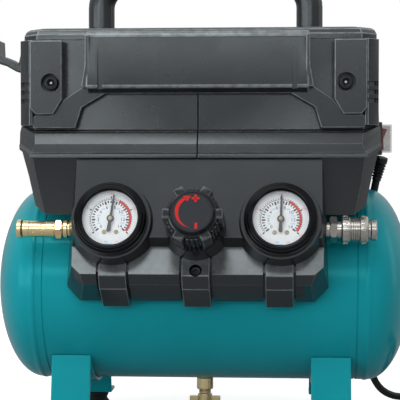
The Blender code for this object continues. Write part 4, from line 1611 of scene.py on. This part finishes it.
    def handle(self) -> None:
        """The bow over the lid, its collars and the ribbed grip."""
        bend, x, top = self.handle_bend, self.handle_x, self.handle_z
        left = [
            (-x, 328.2), (-x, 338), *[(px, pz) for px, pz in arc(bend, 180, 90, 12, (-x + bend, top - bend))]
        ]
        line = left + [(-px, pz) for px, pz in reversed(left)]
        bow = sweep([(px, 0, pz) for px, pz in line], 11.0)
        for sign in (-1, 1):
            collar = [
                (11, 336), (12.6, 335.4), (13.4, 333.6), (17.0, 331.4), (18.2, 329.8), (18.2, 328.2),
                (11, 328.2),
            ]
            bow.add(Shape.turned(collar, 48).moved((sign * x, 0, 0)))
        bow.piece("carry_bow", HOUSING, "housing_plastic", replaces=("carry_handle",), smooth=40)
        profile = [(11.2, 52), (13.2, 52), (14.4, 51.4), (15.4, 49.6), (15.5, 45)]
        for index in range(18):
            height = 43.2 - 5.0 * index
            profile += [
                (15.4, height + 0.6), (14.3, height), (14.3, height - 1.4), (15.4, height - 2.0),
                (15.5, height - 3.4),
            ]
        profile += [(15.4, -49.6), (14.4, -51.4), (13.2, -52), (11.2, -52)]
        grip = Shape.turned(profile, 48).moved((0, 0, top), ALONG_X)
        grip.piece("ribbed_grip", SOFT_GRIP, "grip_rubber", replaces=("handle_grip",), smooth=40)


def sweep(line: Sequence[Point], radius: float, sides: int = 36) -> Shape:
    """A round bar along a line that lies in an upright plane along x.

    Args:
        line: The points of its middle.
        radius: Its radius.
        sides: How many sides stand for the circle.

    Returns:
        The bar.
    """
    points = [Vector(point) for point in line]
    rings = []
    for index, point in enumerate(points):
        before, after = points[max(index - 1, 0)], points[min(index + 1, len(points) - 1)]
        across = (after - before).normalized().cross(Vector((0, 1, 0)))
        rings.append([
            point + radius * (
                math.cos(math.tau * k / sides) * across + math.sin(math.tau * k / sides) * Vector((0, 1, 0))
            )
            for k in range(sides)
        ])
    return Shape.skin(rings)


# Control panel


@dataclass
class ControlPanel:
    """The tilted panel, with its ribs, its round seats and its screw."""

    left: float = 94.2
    right: float = 96.6
    left_draft: float = 0.24
    right_draft: float = 0.13
    depth: float = 44.0
    profile: Outline = (
        (-97, 224.6), (-115.5, 164.6), (-107.8, 156.8), (-118.8, 136.5), (-112, 128), (-89, 113), (-84, 113),
        (-84, 180),
        (-84.9, 180.5), (-86, 188), (-88.5, 208), (-93.5, 224.4),
    )
    rib_profile: Outline = (
        (-104, 151), (-111.6, 151), (-120.4, 135.6), (-113.6, 124.4), (-90.5, 108.6), (-84, 108.6), (-84, 118)
    )
    groove: Outline = (
        (-105.6, 156), (-114.6, 138), (-108, 130.8), (-87, 116.8), (-86, 106), (-130, 106), (-130, 160),
    )
    rib_centres: tuple[float, ...] = (-64.0, 0.0, 64.0)
    rib_width: float = 21.5
    seat_draft: float = 4.6
    screw: Point = (-118.0, 139.5)
    screw_tilt: float = 24.0
    # How much painted highlight the up-facing lower faces get, and between which heights.
    painted_highlight: float = 0.45
    painted_highlight_heights: Point = (133.0, 158.0)

    def build(self) -> None:
        """Make the panel and its screw."""
        panel = Shape.prism(self.profile, Axis.X, -104, 104)
        draft = Shape.skin([self.outline(-4, 128.5, 19), self.outline(self.depth, 111, 13)])
        panel.combined(draft, "INTERSECT")
        bmesh.ops.dissolve_limit(panel.mesh, angle_limit=0.01, verts=panel.mesh.verts, edges=panel.mesh.edges)
        panel.softened(0.8, 18)
        for x in self.rib_centres:
            rib = Shape.prism(
                self.rib_profile, Axis.X, x - self.rib_width / 2, x + self.rib_width / 2
            ).softened(0.7, 15)
            for side in (-1, 1):
                middle = x + side * (self.rib_width / 2 + 0.9)
                panel.cut(Shape.prism(self.groove, Axis.X, middle - 0.9, middle + 0.9))
            panel.joined(rib)
        for x, face, radius, top, _ in self.seats():
            low = -20.0
            rim = [
                (0, low), (radius + self.seat_draft, low), (radius, top), (radius - 0.8, top), (0, top - 1.6)
            ]
            seat = Shape.turned(rim, 72)
            panel.joined(seat.moved((x, *face), FACE_TILT))
        for x, face, _, _, bore in self.seats():
            panel.cut(Shape.cylinder(bore, -34, 2, 64).moved((x, *face), FACE_TILT))
        turn = (RIGHT_ANGLE - math.radians(self.screw_tilt), 0, 0)
        panel.cut(Shape.cylinder(5.0, -14, 4, 40).moved((0, *self.screw), turn))
        # The up-facing lower faces get the lighter edge colour as a painted highlight, where they face the
        # light from above.
        low, high = self.painted_highlight_heights
        panel.marked(
            self.painted_highlight, lambda face: face.normal.z > 0.38 and low < face.calc_center_median().z < high
        )
        panel.piece("front_panel", PANEL, "housing_plastic", replaces=("control_panel",))
        head = [(0, -4.6), (1.6, -4.4), (2.2, -3.0), (3.4, -2.6), (4.0, -3.4), (4.0, -6), (0, -6)]
        screw = Shape.turned(head, 32)
        slot = Shape.box((-0.5, -2.4, -4.6), (0.5, 2.4, 0)).add(
            Shape.box((-2.4, -0.5, -4.6), (-0.51, 0.5, 0))
        )
        screw.cut(slot).moved((0, *self.screw), turn)
        screw.piece("panel_fixing", KNOB_FACE, "screw_steel", replaces=("panel_screw",), smooth=40)

    def outline(self, behind: float, low: float, corner: float) -> list[Point]:
        """The panel's outline on a plane parallel to its face, with the lower corners cut.

        Args:
            behind: How far the plane lies behind the face.
            low: The height of its lower edge.
            corner: How much of each lower corner is cut off.

        Returns:
            The corners in order.
        """
        left, right = -self.left - self.left_draft * behind, self.right + self.right_draft * behind
        top_y, top_z = self.profile[0]
        ends = [
            (left, 232), (right, 232), (right, low + corner), (right - corner, low), (left + corner, low),
            (left, low + corner),
        ]
        return [(x, top_y - (top_z - z) * math.tan(PANEL_TILT) + behind, z) for x, z in ends]

    def seats(self) -> list[tuple[float, Point, float, float, float]]:
        """The x, the face, the radius, the rim's height and the bore's radius of each round seat."""
        gauges = [(x, GAUGE_SEAT, 30.6, -2.2, 26.6) for x in (-GAUGE_X, GAUGE_X)]
        return [*gauges, (0.0, KNOB_SEAT, 21.5, -0.4, 14.0)]


def lettering(text: str, size: float, thickness: float) -> Shape:
    """Flat raised lettering, centred on the origin.

    Args:
        text: The characters.
        size: Their size.
        thickness: How far they stand up.

    Returns:
        The lettering, facing z.
    """
    font = bpy.data.curves.new("lettering", "FONT")
    font.body = text
    font.size = size
    font.align_x, font.align_y = "CENTER", "CENTER"
    font.extrude = thickness / 2
    font.resolution_u = 3
    holder = bpy.data.objects.new("lettering", font)
    bpy.context.collection.objects.link(holder)
    graph = bpy.context.evaluated_depsgraph_get()
    shape = Shape()
    shape.mesh.from_mesh(holder.evaluated_get(graph).to_mesh())
    bpy.data.objects.remove(holder)
    bpy.data.curves.remove(font)
    bmesh.ops.remove_doubles(shape.mesh, verts=shape.mesh.verts, dist=0.0005)
    return shape


@dataclass
class Gauge:
    """A pressure gauge: glossy case, printed dial, needle and clear lens."""

    name: str
    x: float
    body: Body
    needle_turn: float
    ink: float = -0.36
    film: float = 0.04
    first: float = -130.0
    last: float = 130.0
    red_from: float = 24.0

    def settle(self, shape: Shape) -> Shape:
        """Move a shape from the gauge's own axes to its place on the panel."""
        return shape.moved((self.x, *GAUGE_SEAT), FACE_TILT)

    def build(self) -> None:
        """Make the gauge."""
        case = [
            (0, -15.5), (24, -15.5), (24, 2.0), (22.2, 2.4), (21.3, 3.2), (21.3, 4.6), (22.0, 5.0),
            (22.5, 6.3), (24.0, 6.7),
            (25.3, 6.4), (25.7, 5.7), (26.4, 5.8), (27.4, 5.0), (27.9, 3.8), (28, 2.2), (27.4, -4.4),
            (26, -4.4), (26, -18), (0, -18),
        ]
        self.settle(Shape.turned(case, 96)).piece(
            f"{self.name}_bezel", GLOSS_BLACK, "gauge_case_plastic", replaces=(f"{self.name}_case",),
            smooth=48
        )
        plate = [(23.6, -0.4), (23.6, -1.2), (9, -1.2), (9, -15.2), (1.3, -15.2), (1.3, -0.4)]
        self.settle(Shape.turned(plate, 72)).piece(
            f"{self.name}_dial_plate", DIAL_WHITE, "gauge_dial", replaces=(f"{self.name}_dial",)
        )
        self.scales()
        self.pointer()
        lens = Shape.turned([(0, 4.4), (20.9, 4.4), (21.3, 4.1), (21.3, 3.3), (0, 3.3)], 72)
        self.settle(lens).piece(f"{self.name}_window", LENS, "lens", replaces=(f"{self.name}_lens",))

    def tick(self, angle: float, inner: float, outer: float, width: float) -> Shape:
        """A raised mark across the scale.

        Args:
            angle: Its place, in degrees clockwise from the top.
            inner: The radius where it starts.
            outer: The radius where it ends.
            width: Its width.

        Returns:
            The mark.
        """
        mark = Shape.box((-width / 2, inner, self.ink - self.film), (width / 2, outer, self.ink))
        return mark.moved(turn=(0, 0, -math.radians(angle)))

    def ring(self, radius: float, width: float, start: float, end: float) -> Shape:
        """A raised line along the scale.

        Args:
            radius: The radius of its middle.
            width: Its width.
            start: Where it starts, in degrees clockwise from the top.
            end: Where it ends.

        Returns:
            The line.
        """
        outer = arc(radius + width / 2, 90 - start, 90 - end, 40)
        inner = arc(radius - width / 2, 90 - end, 90 - start, 40)
        return Shape.prism(outer + inner, Axis.Z, self.ink - self.film, self.ink)

    def number(self, text: str, angle: float, radius: float, size: float) -> Shape:
        """An upright number on the dial.

        Args:
            text: The number.
            angle: Its place, in degrees clockwise from the top.
            radius: How far out its middle is.
            size: Its size.

        Returns:
            The number.
        """
        turn = math.radians(angle)
        return lettering(text, size, self.film).moved(
            (radius * math.sin(turn), radius * math.cos(turn), self.ink)
        )

    def marks(self, parts: int, count: int, shift: float = 0.0) -> list[tuple[int, float]]:
        """The numbers and angles of evenly spaced marks.

        Args:
            parts: How many parts the scale is divided into.
            count: How many marks there are.
            shift: How far each stands past its division, in parts.

        Returns:
            Each mark's number and its angle in degrees.
        """
        span = self.last - self.first
        return [(index, self.first + span * (index + shift) / parts) for index in range(count)]

    def scales(self) -> None:
        """Print the three scales, the red sector and the two dial screws."""
        black, blue, red, pink = Shape(), Shape(), Shape(), Shape()
        for index, angle in self.marks(28, 29):
            long_tick = index % 4 == 0
            black.add(self.tick(angle, 11.7 if long_tick else 12.5, 14.5, 1.3 if long_tick else 0.95))
        for index, angle in self.marks(7, 8):
            black.add(self.number(str(2 * index), angle, 9.4, 3.7))
        for index, angle in self.marks(40, 41):
            outer, width = (17.8, 1.1) if index % 10 == 0 else (16.7, 0.6)
            black.add(self.tick(angle, 16.0, outer, width))
        black.add(self.ring(15.4, 0.4, self.first, self.red_from))
        for index, angle in self.marks(7, 7, 0.5):
            blue.add(self.number(str(200 * index + 100), angle, 9.6, 1.9))
        for index, angle in self.marks(4, 5):
            pink.add(self.number(str(50 * index), angle, 19.6, 2.6))
        red.add(self.ring(15.2, 2.0, self.red_from, self.last - 1.5))
        blue.add(
            Shape.box((-3.4, -20.6, self.ink - self.film), (1.6, -19.5, self.ink)),
            lettering("bar", 2.2, self.film).moved((-2.6, -17.8, self.ink)),
        )
        pink.add(lettering("psi", 2.2, self.film).moved((5.6, -17.6, self.ink)))
        for name, shape, finish in (
            ("black", black, INK_BLACK), ("blue", blue, INK_BLUE), ("red", red, INK_RED),
            ("pink", pink, INK_PINK),
        ):
            self.settle(shape).piece(f"{self.name}_print_{name}", finish, "gauge_dial")
        rivets = Shape()
        for angle in (-156, 156):
            turn = math.radians(angle)
            rivet = Shape.turned(
                [(0, -0.1), (0.7, -0.1), (0.9, 0.25), (1.5, 0.25), (1.75, -0.05), (1.75, -0.4), (0, -0.4)], 24
            )
            rivets.add(rivet.moved((11.3 * math.sin(turn), 11.3 * math.cos(turn), 0)))
        self.settle(rivets).piece(f"{self.name}_dial_screws", DULL_BRASS, "brass", smooth=50)

    def pointer(self) -> None:
        """The needle with its broad tail, and the brass cap on its hub."""
        tail = arc(1.5, 180, 360, 10, (0, -9.0))
        outline = [(-1.05, 0), *tail, (1.05, 0), (0.85, 8), (0.6, 18.8), (-0.6, 18.8), (-0.85, 8)]
        needle = Shape.prism(outline, Axis.Z, 1.0, 1.5)
        needle.add(
            Shape.turned([(0, 0.8), (2.75, 0.8), (2.75, 1.9), (2.4, 2.2), (0, 2.2)], 32),
            Shape.cylinder(0.9, -9, 1.1, 16),
        )
        turn = (0, 0, self.needle_turn)
        self.settle(needle.moved(turn=turn)).piece(
            f"{self.name}_pointer", INK_BLACK, "needle", self.body, (f"{self.name}_needle",)
        )
        cap = Shape.turned([(0, 2.62), (1.2, 2.55), (1.75, 2.3), (1.8, 2.15), (0, 2.15)], 32)
        self.settle(cap).piece(f"{self.name}_hub_cap", DULL_BRASS, "brass", self.body, smooth=60)


@dataclass
class RegulatorKnob:
    """The lugged knob with the arrow and the signs on its cap."""

    lug_radius: float = 22.8
    cap_radius: float = 15.8
    cap_top: float = 38.0

    def settle(self, shape: Shape) -> Shape:
        """Move a shape from the knob's own axes to its place on the panel."""
        return shape.moved((0, *KNOB_SEAT), FACE_TILT)

    def build(self) -> None:
        """Make the knob, its cap, its marks and the screw that it turns."""
        body = Shape.turned([
            (4.4, 3), (17.4, 3), (18.4, 4), (18.4, 7.6), (19.0, 8.2), (19.0, 30.6), (18.2, 32.4), (16.9, 33),
            (16.4, 32.4),
            (4.4, 32.4),
        ], 72)
        for index in range(6):
            lug = Shape.box((14.5, -4.2, 7.4), (self.lug_radius, 4.2, 32.6)).softened(1.2, segments=3)
            body.add(lug.moved(turn=(0, 0, math.radians(60 * index))))
            for offset in (20, 30, 40):
                rib = Shape.cylinder(1.5, 8.4, 30.4, 12).softened(0.4, mark=False)
                body.add(rib.moved((19.0, 0, 0)).moved(turn=(0, 0, math.radians(60 * index + offset))))
        self.settle(body).piece(
            "knob_grip", KNOB_PLASTIC, "knob_plastic", Body.KNOB, ("regulator_knob",), smooth=40
        )
        top = self.cap_top
        cap = Shape.turned([
            (0, top - 0.5), (self.cap_radius - 1.6, top - 0.5), (self.cap_radius - 1.1, top),
            (self.cap_radius - 0.5, top),
            (self.cap_radius, top - 0.7), (self.cap_radius, 32.0), (0, 32.0),
        ], 72)
        self.settle(cap).piece("knob_cap", KNOB_FACE, "knob_plastic", Body.KNOB, smooth=40)
        self.settle(self.marks()).piece("knob_marks", MARK_RED, "rocker_red", Body.KNOB)
        dress("regulator_stem", "regulator_screw", BRASS, "brass", 0.3, body=Body.KNOB)
        self.graduations()

    def marks(self) -> Shape:
        """A crescent arrow on the left, a plus at the top and a stroke at the bottom.

        Returns:
            All the marks.
        """
        low, high = self.cap_top - 0.5, self.cap_top - 0.25
        steps = 28
        outer, inner = [], []
        for index in range(steps + 1):
            t = index / steps
            angle = math.radians(118 + 146 * t)
            width = 2.5 * math.sin(math.pi * min(0.30 + 0.72 * t, 1.0)) + 0.12
            middle = 11.2 + 1.5 * max(t - 0.45, 0.0)
            outer.append(((middle + width / 2) * math.cos(angle), (middle + width / 2) * math.sin(angle)))
            inner.append(((middle - width / 2) * math.cos(angle), (middle - width / 2) * math.sin(angle)))
        marks = Shape.prism(outer + inner[::-1], Axis.Z, low, high)
        marks.add(Shape.prism([(-0.9, 11.9), (-6.9, 12.1), (-3.4, 7.6)], Axis.Z, low, high))
        marks.add(
            Shape.box((-0.2, 9.3, low), (5.4, 11.0, high)), Shape.box((1.75, 7.3, low), (3.45, 13.0, high))
        )
        marks.add(Shape.box((2.3, -13.0, low), (4.2, -8.4, high)))
        return marks

    def graduations(self) -> None:
        """Fine raised strokes round the knob's seat on the panel."""
        strokes = Shape()
        for index in range(13):
            stroke = Shape.box((18.6, -0.35, -0.1), (20.8, 0.35, 0.25)).softened(0.1)
            strokes.add(stroke.moved(turn=(0, 0, math.radians(-150 + 10 * index))))
        self.settle(strokes).piece("seat_strokes", PANEL, "housing_plastic")


# Air line


@dataclass
class AirLine:
    """The relief valve on the left, the quick coupler on the right and the pipes behind the panel."""

    y: float = -88.0
    z: float = 169.4

    def settle(self, shape: Shape, sign: int) -> Shape:
        """Lay a turned shape along the line, outwards to one side.

        Args:
            shape: The shape, turned round z.
            sign: -1 for the left and 1 for the right.

        Returns:
            The same shape.
        """
        return shape.moved((0, self.y, self.z), (0, sign * RIGHT_ANGLE, 0))

    def build(self) -> None:
        """Make both ends of the line."""
        self.relief_valve()
        self.coupler()
        for node in ("inlet_pipe", "outlet_pipe"):
            dress(node, f"{node}_dressed", BRASS, "brass", 0.3)
        dress("regulator_body", "regulator_body_dressed", ALLOY, "cast_alloy", 0.3)

    def relief_valve(self) -> None:
        """The brass barrel with its holes and hexagon, and the pull cap."""
        barrel = Shape.turned([
            (0, 138.7), (6.4, 138.7), (6.7, 138.2), (6.7, 133.4), (6.45, 133.0), (6.45, 119.8), (6.7, 119.4),
            (6.7, 113.4),
            (6.2, 112.6), (5.6, 112.2), (5.6, 107), (4.8, 106.6), (4.8, 106.4), (7.0, 106.2), (7.4, 105.8),
            (7.4, 103.0),
            (7.0, 102.7), (6, 102.4), (6, 100), (0, 100),
        ], 56)
        for height, offset in ((130.2, 0), (123.4, 18)):
            for index in range(10):
                hole = Shape.cylinder(0.85, 5.0, 8.0, 12).moved(turn=ALONG_X)
                barrel.cut(hole.moved((0, 0, height), (0, 0, math.radians(36 * index + offset))))
        nut = Shape.cylinder(8.2, 107.4, 112.2, 6).combined(
            Shape.turned(
                [(0, 107.2), (7.4, 107.2), (8.6, 108.6), (8.6, 111.0), (7.4, 112.4), (0, 112.4)], 40
            ),
            "INTERSECT"
        )
        barrel.add(nut)
        self.settle(barrel, -1).piece(
            "relief_barrel", BRASS, "brass", replaces=("relief_valve_body",), smooth=30
        )
        cap = Shape.turned([
            (0, 143.4), (5.2, 143.4), (5.6, 143.1), (6.9, 143.2), (7.6, 142.5), (7.6, 139.7), (7.0, 139.0),
            (2.2, 139),
            (2.2, 138.8), (0, 138.8),
        ], 48)
        self.settle(cap, -1).piece(
            "relief_pull", BRASS, "brass", Body.RELIEF_CAP, ("relief_valve_cap",), smooth=30
        )

    def coupler(self) -> None:
        """The hexagonal body, the knurled sleeve and the end ring of the quick coupler."""
        body = Shape.turned([
            (4.6, 139.2), (7.4, 139.2), (8.4, 138.4), (8.4, 135.2), (7.6, 134.6), (7.2, 134.2), (7.2, 103),
            (6.4, 102.6),
            (6.4, 100), (3.2, 100), (3.2, 112), (4.6, 112.4),
        ], 48)
        nut = Shape.cylinder(10.4, 102.8, 108.4, 6).moved(turn=(0, 0, math.radians(30))).combined(
            Shape.turned(
                [(5, 102.6), (9.2, 102.6), (10.8, 104.2), (10.8, 107.2), (9.2, 108.6), (5, 108.6)], 40
            ),
            "INTERSECT"
        )
        self.settle(body.add(nut), 1).piece(
            "coupler_core", NICKEL, "nickel", replaces=("coupler_body",), smooth=30
        )
        profile = [(9.8, 132.6), (10.5, 132.2), (10.8, 131.6), (10.8, 126.4), (10.4, 126.0), (9.6, 125.6)]
        for index in range(4):
            height = 124.6 - 1.6 * index
            profile += [(9.6, height), (9.25, height - 0.4), (9.6, height - 0.8)]
        profile += [
            (9.6, 118.6), (10.4, 118.2), (10.8, 117.8), (10.8, 112.6), (10.4, 112.0), (9.8, 111.6),
            (7.6, 111.6), (7.6, 132.6),
        ]
        sleeve = Shape.turned(profile, 56)
        for index in range(24):
            for height in (113.2, 127.4):
                bar = Shape.box((10.6, -0.45, height), (11.0, 0.45, height + 3.6)).softened(0.12)
                sleeve.add(bar.moved(turn=(0, 0, math.radians(15 * index))))
        self.settle(sleeve, 1).piece(
            "coupler_ring", NICKEL, "nickel", Body.SLEEVE, ("coupler_sleeve",), smooth=30
        )


# Switch and the parts inside


class MainsSwitch:
    """The mains switch under its smoked splash cover."""

    def build(self) -> None:
        """Make the frame, the rocker and the cover."""
        dress("switch_frame", "switch_bezel", SWITCH_BLACK, "housing_plastic", 0.7)
        dress("switch_rocker", "rocker", ROCKER_RED, "rocker_red", 0.6, 20, Body.ROCKER)
        dress("switch_cover", "splash_window", SMOKED, "splash_cover", 0.9, segments=3, mark=False)


class PumpSet:
    """The motor and pump inside the housing, which keep their CAD shapes."""

    finishes: dict[str, Finish] = {
        "pump_cradle": CRADLE,
        "motor_housing": CRADLE,
        "crankcase": ALLOY,
        "pump_cylinder": ALLOY,
        "cylinder_head": ALLOY,
        "piston_rod": ALLOY,
        "motor_shaft": STEEL,
        "cooling_fan": SWITCH_BLACK,
        "air_filter": FOAM,
        "discharge_tube": COPPER,
        "check_valve": BRASS,
        "pressure_switch": SWITCH_BLACK,
    }

    def build(self) -> None:
        """Give each part its finish."""
        for node, finish in self.finishes.items():
            for slot in bpy.data.objects[node].material_slots:
                slot.material = finish.material()
            LOG.info("%s keeps its shape, in %s", node, finish.name)


def main() -> None:
    """Build the machine from the ground up."""
    logging.basicConfig(level=logging.INFO, format="%(message)s")
    Studio().build()
    MainsCord().build()
    Tank().build()
    Housing().build()
    ControlPanel().build()
    Gauge("tank_gauge", -GAUGE_X, Body.TANK_NEEDLE, math.radians(-7)).build()
    Gauge("outlet_gauge", GAUGE_X, Body.OUTLET_NEEDLE, math.radians(-2)).build()
    RegulatorKnob().build()
    AirLine().build()
    MainsSwitch().build()
    PumpSet().build()


if __name__ == "__main__":
    main()
